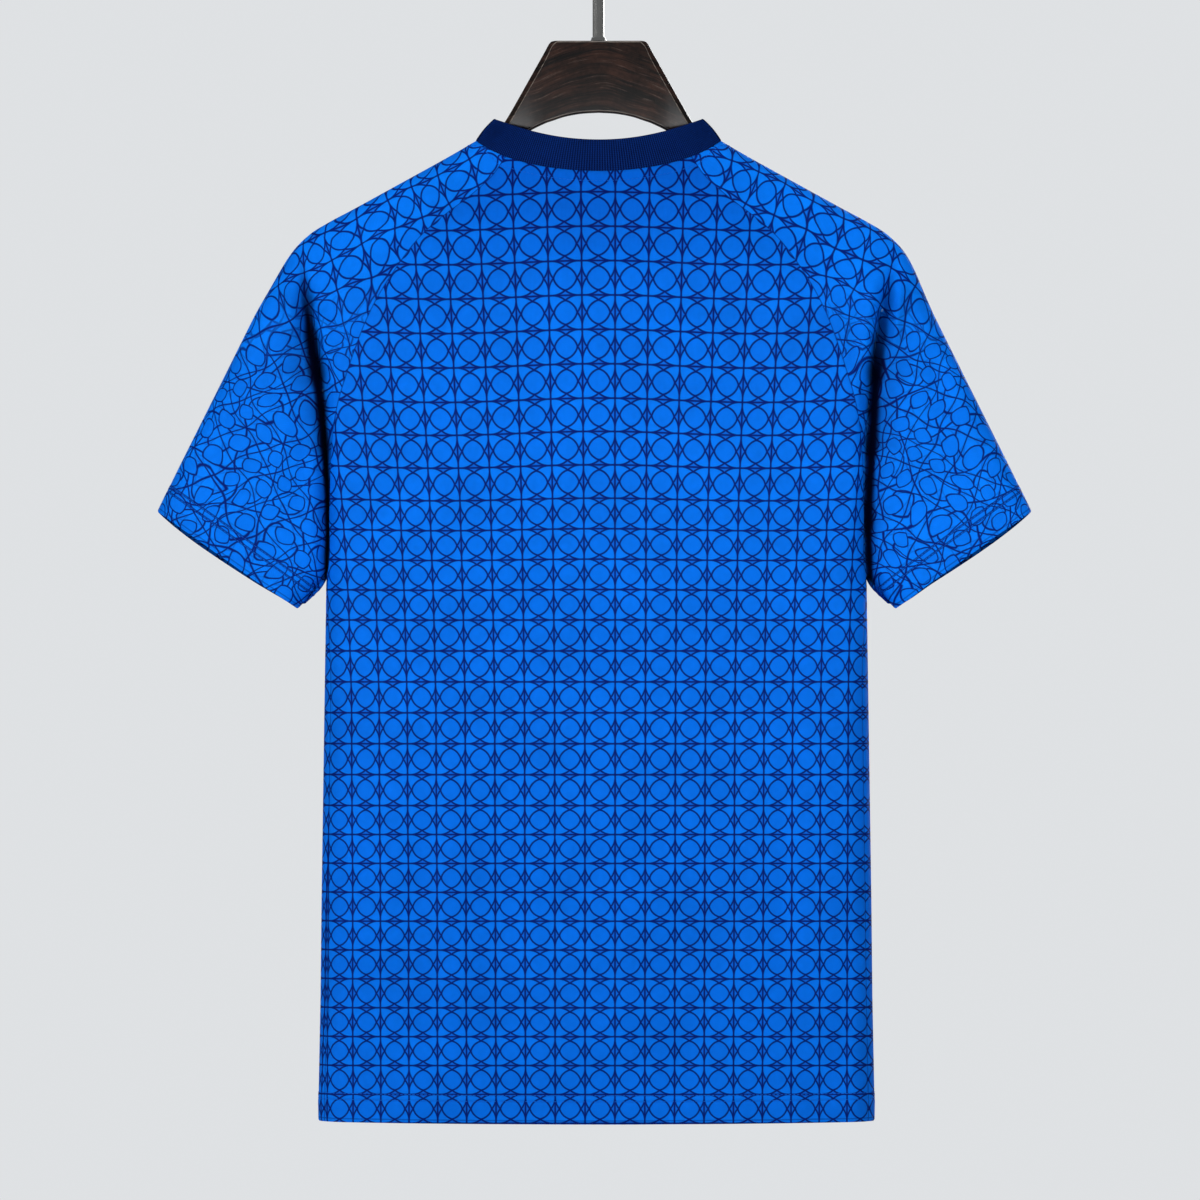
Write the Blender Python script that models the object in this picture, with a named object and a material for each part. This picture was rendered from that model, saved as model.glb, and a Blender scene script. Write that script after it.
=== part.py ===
"""A short-sleeved raglan jersey hanging on a wooden hanger, seen from its back along +Y.

Metres, +Z up.  The origin is the seat of the hanger's hook, at the inside top of the crook.
The wearer's back faces -Y and the front +Y.  Heights in the tables are drops in millimetres
below the top of the hanger's wood.
"""

import math

import bmesh
import bpy
import numpy as np

MM = 0.001

# ---- driving sizes of the jersey -------------------------------------------------------
WALL = 0.0018
SEAM_GAP = 0.0004
PIT_GAP = 2.0
PIT_REACH = 25.0
COLLAR_GAP = 0.0006
WOOD_TOP = -0.092
HEM_DROP = 802.9
HEM_SAG = 2.0
SAG_STARTS = 700.0
SAG_FADE = 100.0
SIDE_SEAM_IN = 4.5
SIDE_SEAM_FADE = 90.0
NECK_HALF_WIDTH = 90.9
NECK_DROP_BACK = 97.1
NECK_DROP_FRONT = 160.0
NECK_OVAL = (100.0, 40.0)
COLLAR_HALF_WIDTH = 77.2
COLLAR_DROP_BACK = 73.6
COLLAR_DROP_SHOULDER = 57.6
COLLAR_DROP_FRONT = 138.0
COLLAR_LEAN = 3.0
RIBS = 240
RIB_RELIEF = 0.00025
# the jersey hangs a little to one side: how much, and over which stretches the shift grows
SLEEVE_SWING = 3.0
SWING_FROM_X = 150.0
SWING_WIDTH = 100.0
SWING_FROM_DROP = 150.0
SWING_GROWS = 60.0
SWING_ENDS = 400.0
SWING_FADES = 30.0
BODY_SHIFT = 1.5
SHIFT_GROWS = 250.0

# ---- how far the cloth stands out from the middle plane, in millimetres ------------------
SHOULDER_EDGE = 9.0
SHOULDER_RISE = 9.0
BODY_EDGE = 20.0
BODY_RISE = 24.0
SLEEVE_EDGE = 13.0
SLEEVE_RISE = 13.0
SLEEVE_DEPTH = 19.0
SPREAD = 90.0
SLEEVE_SPREAD = 45.0
SHOULDER_TOP_DROP = 22.5
FOLD_TOP = 150.0
FOLD_FADE = 80.0
FOLD_FLOOR = 4.0
FLOOR_ENDS = 395.0
FLOOR_FADE = 25.0
ARMPIT_DROP = 395.7

# name of the section, its end on the outer edge, its ends on the back and the front raglan
# seam (x and drop of each), and how far along from the seam its fold lies
SLEEVE_SECTIONS = (
    # name        edge_x edge_drop  back_x back_drop  front_x front_drop  fold_at
    ("neck",        90.9,  74.2,     69.0,  86.1,      86.5, 100.5,       0.35),
    ("collarbone", 113.2,  87.1,     78.7, 100.2,      93.0, 110.5,       0.40),
    ("yoke",       136.0,  99.7,     90.5, 111.3,     101.0, 119.0,       0.45),
    ("blade_top",  158.0, 111.8,    101.7, 120.2,     109.0, 126.0,       0.50),
    ("blade",      180.0, 123.9,    113.2, 128.8,     117.5, 133.5,       0.56),
    ("tip_before", 200.0, 134.6,    126.1, 139.5,     128.5, 143.5,       0.64),
    ("tip",        215.5, 144.6,    140.2, 155.1,     141.5, 157.5,       0.72),
    ("tip_after",  229.6, 160.3,    158.4, 182.2,     159.0, 183.5,       0.76),
    ("upper_arm",  245.2, 190.0,    171.4, 207.8,     171.8, 208.5,       0.57),
    ("mid_arm",    261.6, 222.8,    184.0, 242.6,     184.0, 242.8,       0.33),
    ("arm",        276.4, 252.6,    193.3, 275.3,     193.3, 275.3,       0.165),
    ("lower_arm",  289.6, 279.0,    197.2, 307.2,     197.2, 307.2,       0.070),
    ("above_pit",  301.6, 303.0,    198.6, 350.0,     198.6, 350.0,       0.035),
    ("armpit",     312.6, 325.2,    200.4, 395.7,     200.4, 395.7,       0.035),
    ("cuff",       324.1, 349.2,    221.5, 421.5,     221.5, 421.5,       0.080),
)

# the deep fold between sleeve and body, which the body's side edge goes on from
SIDE_LINE = (
    # drop    x
    (150.0, 224.0),
    (170.7, 219.3),
    (189.6, 215.2),
    (213.0, 212.2),
    (236.7, 209.6),
    (260.4, 206.8),
    (279.7, 205.4),
    (310.9, 202.6),
    (345.0, 201.0),
    (395.7, 200.4),
    (489.0, 201.8),
    (563.0, 202.9),
    (637.0, 204.0),
    (711.6, 204.8),
    (786.0, 206.3),
    (802.9, 206.0),
)

# how far the back and the front stand out at mid width
BODY_DEPTH = (
    # drop   depth
    (60.0,  24.0),
    (97.0,  27.0),
    (160.0, 31.0),
    (330.0, 34.0),
    (560.0, 33.0),
    (803.0, 30.0),
)

RIDGE_FADE = 0.3
# soft ridges (+) and troughs (-) of the cloth: where each starts and ends, and its size
FOLDS = (
    # name            x0     drop0   x1     drop1  width height
    ("arm_ridge",    226.0, 183.0, 223.0, 224.0,  5.0,  2.6),
    ("arm_ridge_2",  207.0, 190.0, 201.5, 236.0,  4.5,  1.8),
    ("elbow_trough", 246.0, 222.0, 262.0, 300.0,  9.0, -1.8),
    ("blade_trough",  60.0, 170.0, 150.0, 330.0, 20.0, -2.2),
    ("waist_ridge",  120.0, 420.0, 150.0, 640.0, 16.0,  1.6),
    ("hem_trough",    70.0, 600.0,  60.0, 800.0, 14.0, -1.8),
)

# ---- mesh density -----------------------------------------------------------------------
PANEL_COLUMNS = 9
CROWDING = 0.75
FLAT_SHARE = 0.56
SEAM_TO_FOLD = 3
FOLD_TO_EDGE = 7
LOWER_ROWS = 11
STEPS_PER_SECTION = 2

# ---- driving sizes of the hanger --------------------------------------------------------
BAR_HALF_THICKNESS = 0.0064
BAR_TIP = 216.0
BAR_CLEARANCE = 0.0006
# its front view: place along the bar, drops of its top and underside, corner radius
BAR_SECTIONS = (
    # x      top    under   corner
    (0.0,    0.0,   53.2,   3.5),
    (13.0,   0.0,   54.0,   3.5),
    (25.0,   0.0,   56.2,   3.5),
    (33.5,   0.2,   59.0,   3.5),
    (36.6,   2.2,   60.0,   3.5),
    (40.0,   8.4,   61.3,   3.5),
    (49.0,  24.4,   65.7,   3.6),
    (59.0,  42.2,   71.6,   3.8),
    (68.3,  58.2,   78.3,   4.2),
    (75.0,  67.0,   83.9,   4.8),
    (82.0,  73.4,   90.0,   5.4),
    (90.0,  78.9,   96.6,   6.0),
)
ARM_HEIGHT = 21.0
ARM_STARTS = 96.0
ARM_STEP = 15.0
ARM_CORNER = 6.2
TIP_ROUND = 10.0
TIP_ANGLES = (0.0, 30.0, 55.0, 75.0, 88.0)
CORNER_POINTS = 4
CORNER_LIMIT = 0.98

FERRULE_RADIUS = 0.0058
FERRULE_HEIGHT = 0.0024
FERRULE_LIP = 0.0006
FERRULE_SEAT = 0.0003
WIRE_RADIUS = 0.0044
SHAFT_FOOT = 0.0006
CROOK_RADIUS = 0.0196 + WIRE_RADIUS
CROOK_CENTRE_Z = -0.0196
SHAFT_TOP_Z = -0.060
CROOK_START = -12.0
CROOK_END = 205.0
CROOK_STEPS = 30
BEND_PULL_LOW = 0.018
BEND_PULL_HIGH = 0.022
BEND_STEPS = 8

COLOURS = {
    "cloth": ((0.004, 0.125, 0.62), 0.72, 0.0),
    "rib": ((0.002, 0.010, 0.075), 0.85, 0.0),
    "wood": ((0.045, 0.020, 0.012), 0.38, 0.0),
    "chrome": ((0.62, 0.62, 0.63), 0.12, 1.0),
}


# ---- rules of the cloth's form -----------------------------------------------------------
def height(drop):
    """Height in metres of a drop in millimetres below the top of the wood."""
    return WOOD_TOP - drop * MM


def ease(t):
    """Rise from 0 to 1 that starts steep and ends level."""
    t = np.clip(t, 0.0, 1.0)
    return 1.0 - (1.0 - t) ** 2


def step(t):
    """Rise from 0 to 1 that starts and ends level."""
    t = np.clip(t, 0.0, 1.0)
    return t * t * (3.0 - 2.0 * t)


def quarter_round(distance, edge, rise):
    """Section of a turned edge: 0 on the edge, rise at a distance of edge in from it."""
    t = np.clip(distance / edge, 0.0, 1.0)
    return rise * np.sqrt(1.0 - (1.0 - t) ** 2)


def distance_to_path(x, drop, path):
    """Shortest distance of points to a path of straight stretches."""
    start = path[:-1]
    along = path[1:] - start
    point = np.stack([x, drop], axis=-1)[..., None, :]
    t = np.sum((point - start) * along, axis=-1) / np.sum(along * along, axis=-1)
    nearest = start + np.clip(t, 0.0, 1.0)[..., None] * along
    return np.sqrt(np.min(np.sum((point - nearest) ** 2, axis=-1), axis=-1))


def columns(table, first, last):
    """Columns of a table as an array of numbers."""
    return np.array([row[first:last] for row in table])


def between_rows(rows, steps):
    """Smooth curve through the rows of an array, with this many steps from row to row."""
    padded = np.concatenate([2 * rows[:1] - rows[1:2], rows, 2 * rows[-1:] - rows[-2:-1]])
    out = []
    for i in range(len(rows) - 1):
        a, b, c, d = padded[i:i + 4]
        for k in range(steps):
            t = k / steps
            out.append(0.5 * (2 * b + (c - a) * t + (2 * a - 5 * b + 4 * c - d) * t ** 2
                              + (3 * b - a - 3 * c + d) * t ** 3))
    out.append(rows[-1])
    return np.array(out)


EDGE_POINTS = between_rows(columns(SLEEVE_SECTIONS, 1, 3), STEPS_PER_SECTION)
SIDE_POINTS = columns(SIDE_LINE, 0, 2)
PIT_POINTS = np.array([(x, drop) for drop, x in SIDE_LINE if drop <= ARMPIT_DROP]
                      + [SLEEVE_SECTIONS[-1][3:5]])
OUTER_PATH = np.concatenate([[(0.0, SHOULDER_TOP_DROP)], EDGE_POINTS])


def side_x(drop):
    """Half width of the body at a drop, out to the fold under the sleeve."""
    return np.interp(drop, SIDE_POINTS[:, 0], SIDE_POINTS[:, 1])


def folds(x, drop):
    """Height of the soft folds: each a bell across its line that fades at both ends."""
    total = np.zeros_like(x)
    for _, x0, drop0, x1, drop1, width, rise in FOLDS:
        along = np.array([x1 - x0, drop1 - drop0])
        length = np.hypot(*along)
        t = ((x - x0) * along[0] + (drop - drop0) * along[1]) / length ** 2
        across = ((x - x0) * along[1] - (drop - drop0) * along[0]) / length
        fade = step(t / RIDGE_FADE + 0.5) * step((1.0 - t) / RIDGE_FADE + 0.5)
        total += rise * fade * np.exp(-(across / width) ** 2)
    return total


def half_depth(x, drop):
    """How far the cloth stands out from the middle plane, in millimetres.

    Over the shoulders it is one cover with a turned edge along the outline.  Lower down it
    parts into the body and the sleeve, each with its own turned edges along the deep fold.
    """
    depth = np.interp(drop, *zip(*BODY_DEPTH))
    from_outline = distance_to_path(x, drop, OUTER_PATH)
    edge = quarter_round(from_outline, SHOULDER_EDGE, SHOULDER_RISE)
    cover = edge + (depth - SHOULDER_RISE) * ease(from_outline / SPREAD)
    inside = side_x(drop) - x
    body = quarter_round(inside, BODY_EDGE, BODY_RISE)
    body = body + (depth - BODY_RISE) * ease(inside / SPREAD)
    from_edges = np.minimum(from_outline, distance_to_path(x, drop, PIT_POINTS))
    arm = quarter_round(from_edges, SLEEVE_EDGE, SLEEVE_RISE)
    arm = arm + (SLEEVE_DEPTH - SLEEVE_RISE) * ease(from_edges / SLEEVE_SPREAD)
    parted = np.where(inside > 0.0, body, arm)
    floor = FOLD_FLOOR * step((FLOOR_ENDS - drop) / FLOOR_FADE)
    parted = np.hypot(parted, floor * np.clip(from_outline / SHOULDER_EDGE, 0.0, 1.0))
    share = step((drop - FOLD_TOP) / FOLD_FADE)
    plain = (1.0 - share) * cover + share * parted
    return plain + folds(x, drop) * np.clip(plain / SHOULDER_RISE, 0.0, 1.0) ** 2


def place(x, drop, side, out):
    """Points in metres: side is -1 on the back and +1 on the front, out the half depth."""
    return np.stack([x * MM, side * out * MM, height(drop)], axis=-1)


def neck_seam(angle):
    """Point (x, drop) of the neck seam: angle 0 at the centre back, pi at the centre front."""
    x = NECK_HALF_WIDTH * np.sin(angle)
    wide, tall = NECK_OVAL
    back = NECK_DROP_BACK - tall * (1.0 - np.sqrt(1.0 - (x / wide) ** 2))
    level = NECK_DROP_BACK - tall * (1.0 - math.sqrt(1.0 - (NECK_HALF_WIDTH / wide) ** 2))
    front = level - (NECK_DROP_FRONT - level) * np.cos(angle)
    return x, np.where(np.cos(angle) >= 0.0, back, front)


def neck_point(angle):
    """The neck seam in space."""
    x, drop = neck_seam(angle)
    out = half_depth(np.abs(x), drop)
    return np.stack([x * MM, -np.sign(np.cos(angle)) * out * MM, height(drop)], axis=-1)


def angle_at(x, front):
    """Angle on the neck seam where its half width is x."""
    angle = np.arcsin(x / NECK_HALF_WIDTH)
    return np.pi - angle if front else angle


# ---- grids of the pieces, right half ------------------------------------------------------
def seam_rows():
    """Sleeve sections from neck to cuff: outer edge, back seam, front seam, fold."""
    table = columns(SLEEVE_SECTIONS, 1, 8)
    table[0, 3] = neck_seam(angle_at(table[0, 2], False))[1]
    table[0, 5] = neck_seam(angle_at(table[0, 4], True))[1]
    return between_rows(table, STEPS_PER_SECTION)


def share_of_section(fold_at):
    """Share of the way from the seam (0) to the outer edge (1), closer at fold and edge."""
    first = fold_at[:, None] * np.linspace(0.0, 1.0, SEAM_TO_FOLD + 1)[None, :-1]
    wave = 0.5 - 0.5 * np.cos(np.pi * np.linspace(0.0, 1.0, FOLD_TO_EDGE + 1))
    second = fold_at[:, None] + (1.0 - fold_at[:, None]) * wave[None, :]
    return np.concatenate([first, second], axis=1)


def sleeve_grid():
    """Rows from neck to cuff, columns from the back seam over the outer edge to the front."""
    rows = seam_rows()
    share = share_of_section(rows[:, 6])
    halves = []
    for column, front in ((2, False), (4, True)):
        x = rows[:, column:column + 1] * (1.0 - share) + rows[:, 0:1] * share
        drop = rows[:, column + 1:column + 2] * (1.0 - share) + rows[:, 1:2] * share
        seam_angle = angle_at(rows[0, column], front)
        x[0], drop[0] = neck_seam(seam_angle + (0.5 * np.pi - seam_angle) * share[0])
        halves.append(place(x, drop, 1.0 if front else -1.0, half_depth(x, drop)))
    back, front = halves
    return np.concatenate([back, front[:, -2::-1]], axis=1)


def panel_grid(front):
    """Rows from the neck seam down to the hem, columns from the centre to the seam."""
    rows = seam_rows()
    pit = len(rows) - STEPS_PER_SECTION
    seam = rows[:pit, 4:6] if front else rows[:pit, 2:4]
    lower = np.linspace(ARMPIT_DROP, HEM_DROP, LOWER_ROWS + 1)[1:]
    share = np.linspace(0.0, 1.0, PANEL_COLUMNS + 1)
    spread = share ** CROWDING
    centre = np.pi if front else 0.0
    top_angle = angle_at(seam[0, 0], front)
    top_x, top_drop = neck_seam(centre + (top_angle - centre) * spread)
    level = (seam[:, 1:2] - seam[0, 1]) / (ARMPIT_DROP - seam[0, 1])
    near_neck = (1.0 - level) ** 3
    bend = np.clip((share - FLAT_SHARE) / (1.0 - FLAT_SHARE), 0.0, 1.0)
    pit_x = seam[-1, 0]
    turned = np.minimum(share / FLAT_SHARE, 1.0) * (pit_x - BODY_EDGE)
    turned = turned + BODY_EDGE * np.sin(0.5 * np.pi * bend)
    spread = spread * (1.0 - level ** 2) + turned / pit_x * level ** 2
    upper_x = seam[:, 0:1] * (near_neck * top_x / top_x[-1] + (1.0 - near_neck) * spread)
    upper_drop = seam[:, 1:2] + (top_drop - seam[0, 1]) * near_neck
    upper_out = half_depth(upper_x, upper_drop)
    half = side_x(lower)[:, None]
    back_turn = BODY_EDGE - SIDE_SEAM_IN * step((lower - ARMPIT_DROP) / SIDE_SEAM_FADE)[:, None]
    reach = np.arcsin(back_turn / BODY_EDGE)
    flat = half - BODY_EDGE
    along = flat * np.minimum(share / FLAT_SHARE, 1.0)
    side = 1.0 if front else -1.0
    if front:
        turn = bend * (np.pi - reach)
        lower_x = along + BODY_EDGE * np.sin(turn)
        sign = np.where(turn > 0.5 * np.pi, -1.0, 1.0)
    else:
        turn = bend * reach
        lower_x = along + BODY_EDGE * np.sin(turn)
        sign = np.ones_like(lower_x)
    sag = HEM_SAG * (1.0 - (lower_x / half) ** 2)
    sag = sag * step((lower[:, None] - SAG_STARTS) / SAG_FADE)
    lower_drop = np.broadcast_to(lower[:, None], lower_x.shape) + sag - HEM_SAG
    lower_out = half_depth(lower_x, lower_drop) * sign
    upper = place(upper_x, upper_drop, side, upper_out)
    return np.concatenate([upper, place(lower_x, lower_drop, side, lower_out)])


def normals(grid, facing):
    """Unit normals of a grid of points, pointing out when facing is +1."""
    down = np.gradient(grid, axis=0)
    across = np.gradient(grid, axis=1)
    normal = facing * np.cross(across, down)
    return normal / np.maximum(np.linalg.norm(normal, axis=-1, keepdims=True), 1e-12)


def unit(vectors):
    """Vectors scaled to length 1."""
    return vectors / np.linalg.norm(vectors, axis=-1, keepdims=True)


def open_seam(grid, edge):
    """Moves an edge column or row of a grid half a seam gap in, and more round the armpit."""
    inner = {"left": (slice(None), 1), "right": (slice(None), -2), "top": (1, slice(None))}[edge]
    outer = {"left": (slice(None), 0), "right": (slice(None), -1), "top": (0, slice(None))}[edge]
    from_pit = (WOOD_TOP - grid[outer][:, 2:3]) / MM - ARMPIT_DROP
    gap = SEAM_GAP * (1.0 + PIT_GAP * np.exp(-(from_pit / PIT_REACH) ** 2))
    grid[outer] += 0.5 * gap * unit(grid[inner] - grid[outer])


def jersey_grids():
    """Outer and inner points of each cloth piece, right half, with one normal per seam."""
    back, front, sleeve = panel_grid(False), panel_grid(True), sleeve_grid()
    n_back, n_front, n_sleeve = normals(back, -1.0), normals(front, 1.0), normals(sleeve, -1.0)
    pit = len(sleeve) - STEPS_PER_SECTION - 1
    n_back[:, 0, 0] = 0.0
    n_front[:, 0, 0] = 0.0
    for panel, column in ((n_back, 0), (n_front, -1)):
        shared = unit(panel[:pit, -1] + n_sleeve[:pit, column])
        panel[:pit, -1] = shared
        n_sleeve[:pit, column] = shared
    side = unit(n_back[pit + 1:, -1] + n_front[pit + 1:, -1])
    n_back[pit + 1:, -1] = side
    n_front[pit + 1:, -1] = side
    under = unit(n_sleeve[pit + 1:, 0] + n_sleeve[pit + 1:, -1])
    n_sleeve[pit + 1:, 0] = under
    n_sleeve[pit + 1:, -1] = under
    down = np.array([0.0, 0.0, -1.0])
    n_back[pit, -1] = n_front[pit, -1] = n_sleeve[pit, 0] = n_sleeve[pit, -1] = down
    pieces = {}
    for name, grid, normal in (("back", back, n_back), ("front", front, n_front),
                               ("sleeve", sleeve, n_sleeve)):
        inner = grid - WALL * unit(normal)
        for points in (grid, inner):
            open_seam(points, "right")
            open_seam(points, "top")
            if name == "sleeve":
                open_seam(points, "left")
        pieces[name] = (grid, inner)
    return pieces


def sway(points):
    """Sets the hung jersey a little to one side: the body, and more so the sleeves."""
    out = points.copy()
    drop = (WOOD_TOP - points[..., 2]) / MM
    reach = np.clip((np.abs(points[..., 0]) / MM - SWING_FROM_X) / SWING_WIDTH, 0.0, 1.0)
    grown = step((drop - SWING_FROM_DROP) / SWING_GROWS)
    sleeves = SLEEVE_SWING * grown * reach * (1.0 - step((drop - SWING_ENDS) / SWING_FADES))
    body = BODY_SHIFT * step((drop - SWING_FROM_DROP) / SHIFT_GROWS)
    out[..., 0] -= np.maximum(sleeves, body) * MM
    return out


# ---- making meshes -------------------------------------------------------------------------
def wall_mesh(name, outer, inner, ring=False):
    """Closed wall between two like grids of points, seen from outside row by row."""
    rows, cols = outer.shape[:2]
    count = rows * cols
    points = np.concatenate([outer.reshape(-1, 3), inner.reshape(-1, 3)])
    index = np.arange(count).reshape(rows, cols)
    if ring:
        index = np.concatenate([index, index[:, :1]], axis=1)
    quads = np.stack([index[:-1, :-1], index[:-1, 1:], index[1:, 1:], index[1:, :-1]], axis=-1)
    faces = [quads.reshape(-1, 4), quads.reshape(-1, 4)[:, ::-1] + count]
    rims = [index[0], index[-1][::-1]]
    if not ring:
        rims += [index[:, -1], index[:, 0][::-1]]
    for rim in rims:
        faces.append(np.stack([rim[1:], rim[:-1], rim[:-1] + count, rim[1:] + count], axis=-1))
    mesh = bpy.data.meshes.new(name)
    mesh.from_pydata(points.tolist(), [], np.concatenate(faces).tolist())
    mesh.update()
    outward(mesh)
    return mesh


def outward(mesh):
    """Turns the faces of a closed mesh outwards, and splits them into triangles."""
    work = bmesh.new()
    work.from_mesh(mesh)
    bmesh.ops.recalc_face_normals(work, faces=work.faces)
    bmesh.ops.triangulate(work, faces=work.faces)
    work.to_mesh(mesh)
    work.free()


def material(name):
    """Principled material from the table of colours."""
    colour, roughness, metallic = COLOURS[name]
    made = bpy.data.materials.new(name)
    made.use_nodes = True
    shader = made.node_tree.nodes["Principled BSDF"]
    shader.inputs["Base Color"].default_value = (*colour, 1.0)
    shader.inputs["Roughness"].default_value = roughness
    shader.inputs["Metallic"].default_value = metallic
    return made


def add(collection, name, mesh, finish):
    """Puts a mesh in the scene as a smooth-shaded object with its own material."""
    mesh.materials.append(finish)
    mesh.shade_smooth()
    mesh.set_sharp_from_angle(angle=math.radians(50.0))
    made = bpy.data.objects.new(name, mesh)
    collection.objects.link(made)
    return made


# ---- the pieces ----------------------------------------------------------------------------
def whole_panel(points):
    """A right half and its mirror image, joined along the centre."""
    left = points[:, :0:-1] * np.array([-1.0, 1.0, 1.0])
    return np.concatenate([left, points], axis=1)


def build_cloth(collection, finish):
    """Back, front and the two sleeves."""
    grids = jersey_grids()
    for name, key in (("back_panel", "back"), ("front_panel", "front")):
        outer, inner = (sway(whole_panel(points)) for points in grids[key])
        add(collection, name, wall_mesh(name, outer, inner), finish)
    for name, mirror in (("left_sleeve", -1.0), ("right_sleeve", 1.0)):
        outer, inner = (sway(points * np.array([mirror, 1.0, 1.0])) for points in grids["sleeve"])
        add(collection, name, wall_mesh(name, outer, inner), finish)


def collar_top(angle):
    """Free upper edge of the collar in space."""
    x = COLLAR_HALF_WIDTH * np.sin(angle)
    back = COLLAR_DROP_BACK - (COLLAR_DROP_BACK - COLLAR_DROP_SHOULDER) * np.sin(angle) ** 2
    front = COLLAR_DROP_SHOULDER - (COLLAR_DROP_FRONT - COLLAR_DROP_SHOULDER) * np.cos(angle)
    drop = np.where(np.cos(angle) >= 0.0, back, front)
    seam = neck_point(angle)
    lean = COLLAR_LEAN * MM * np.cos(angle)
    return np.stack([x * MM, seam[..., 1] + lean, height(drop)], axis=-1)


def build_collar(collection, finish):
    """Ribbed strip from the neck seam to its free edge: ribs outside, plain inside."""
    column = np.arange(2 * RIBS)
    angle = 2.0 * np.pi * column / (2 * RIBS)
    seam = neck_point(angle)
    top = collar_top(angle)
    lift = unit(top - seam)
    seam = seam + COLLAR_GAP * lift
    grid = np.stack([top, seam])
    along = np.roll(grid, -1, axis=1) - np.roll(grid, 1, axis=1)
    normal = unit(np.cross(along, grid[:1] - grid[1:]))
    normal *= np.sign(np.sum(normal * (grid - grid.mean(axis=(0, 1))), axis=-1, keepdims=True))
    ribs = RIB_RELIEF * np.where(column % 2 == 0, 1.0, -1.0)[None, :, None]
    outer = grid + normal * ribs
    inner = grid - normal * WALL
    mesh = wall_mesh("collar_rib", sway(outer), sway(inner), ring=True)
    add(collection, "collar_rib", mesh, finish)


def outline_drop(x):
    """Drop of the jersey's shoulder line at a place along it."""
    return np.interp(x, OUTER_PATH[:, 0], OUTER_PATH[:, 1])


def bar_stations():
    """Place, top, underside and corner radius of the hanger's sections, in millimetres."""
    stations = list(BAR_SECTIONS)
    clearance = (WALL + BAR_CLEARANCE) / MM
    places = list(np.arange(ARM_STARTS, BAR_TIP - TIP_ROUND, ARM_STEP))
    places += [BAR_TIP - TIP_ROUND * (1.0 - math.sin(a)) for a in np.radians(TIP_ANGLES)]
    for x in places:
        slope = outline_drop(x + 1.0) - outline_drop(x - 1.0)
        top = outline_drop(x) + clearance * math.hypot(1.0, 0.5 * slope)
        height_here = ARM_HEIGHT
        into_tip = (x - BAR_TIP + TIP_ROUND) / TIP_ROUND
        if into_tip > 0.0:
            shrink = math.sqrt(max(1.0 - into_tip ** 2, 0.0))
            middle = top + 0.5 * ARM_HEIGHT
            height_here = ARM_HEIGHT * shrink
            top = middle - 0.5 * height_here
        stations.append((x, top, top + height_here, ARM_CORNER))
    return np.array(stations)


def rounded_section(top, under, corner):
    """Closed section of the bar: a rectangle with rounded corners."""
    half = BAR_HALF_THICKNESS / MM
    tall = 0.5 * (under - top)
    radius = min(corner, half * CORNER_LIMIT, tall * CORNER_LIMIT)
    points = []
    signs = ((1.0, 1.0), (-1.0, 1.0), (-1.0, -1.0), (1.0, -1.0))
    for quarter, (sy, sz) in enumerate(signs):
        for k in range(CORNER_POINTS):
            a = 0.5 * math.pi * (quarter + k / (CORNER_POINTS - 1))
            points.append((sy * (half - radius) + radius * math.cos(a),
                           0.5 * (top + under) - sz * (tall - radius) - radius * math.sin(a)))
    return np.array(points)


def build_bar(collection, finish):
    """The wooden bar, as sections along it, mirrored about the hook."""
    stations = bar_stations()
    right = []
    for x, top, under, corner in stations:
        section = rounded_section(top, under, corner)
        right.append(np.stack([np.full(len(section), x * MM), section[:, 0] * MM,
                               height(section[:, 1])], axis=-1))
    right = np.array(right)
    rows = np.concatenate([right[:0:-1] * np.array([-1.0, 1.0, 1.0]), right])
    count, around = rows.shape[:2]
    index = np.arange(count * around).reshape(count, around)
    index = np.concatenate([index, index[:, :1]], axis=1)
    quads = np.stack([index[:-1, :-1], index[:-1, 1:], index[1:, 1:], index[1:, :-1]], axis=-1)
    faces = quads.reshape(-1, 4).tolist() + [index[0, :-1].tolist(), index[-1, :-1].tolist()]
    mesh = bpy.data.meshes.new("hanger_bar")
    mesh.from_pydata(rows.reshape(-1, 3).tolist(), [], faces)
    outward(mesh)
    add(collection, "hanger_bar", mesh, finish)


def build_ferrule(collection, finish):
    """Low turned collar on the wood that the hook passes through."""
    work = bmesh.new()
    bmesh.ops.create_cone(work, cap_ends=True, segments=24, radius1=FERRULE_RADIUS,
                          radius2=WIRE_RADIUS + FERRULE_LIP, depth=FERRULE_HEIGHT)
    middle = WOOD_TOP + FERRULE_SEAT + 0.5 * FERRULE_HEIGHT
    bmesh.ops.translate(work, verts=work.verts, vec=(0.0, 0.0, middle))
    mesh = bpy.data.meshes.new("hanger_ferrule")
    work.to_mesh(mesh)
    work.free()
    outward(mesh)
    add(collection, "hanger_ferrule", mesh, finish)


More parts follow.
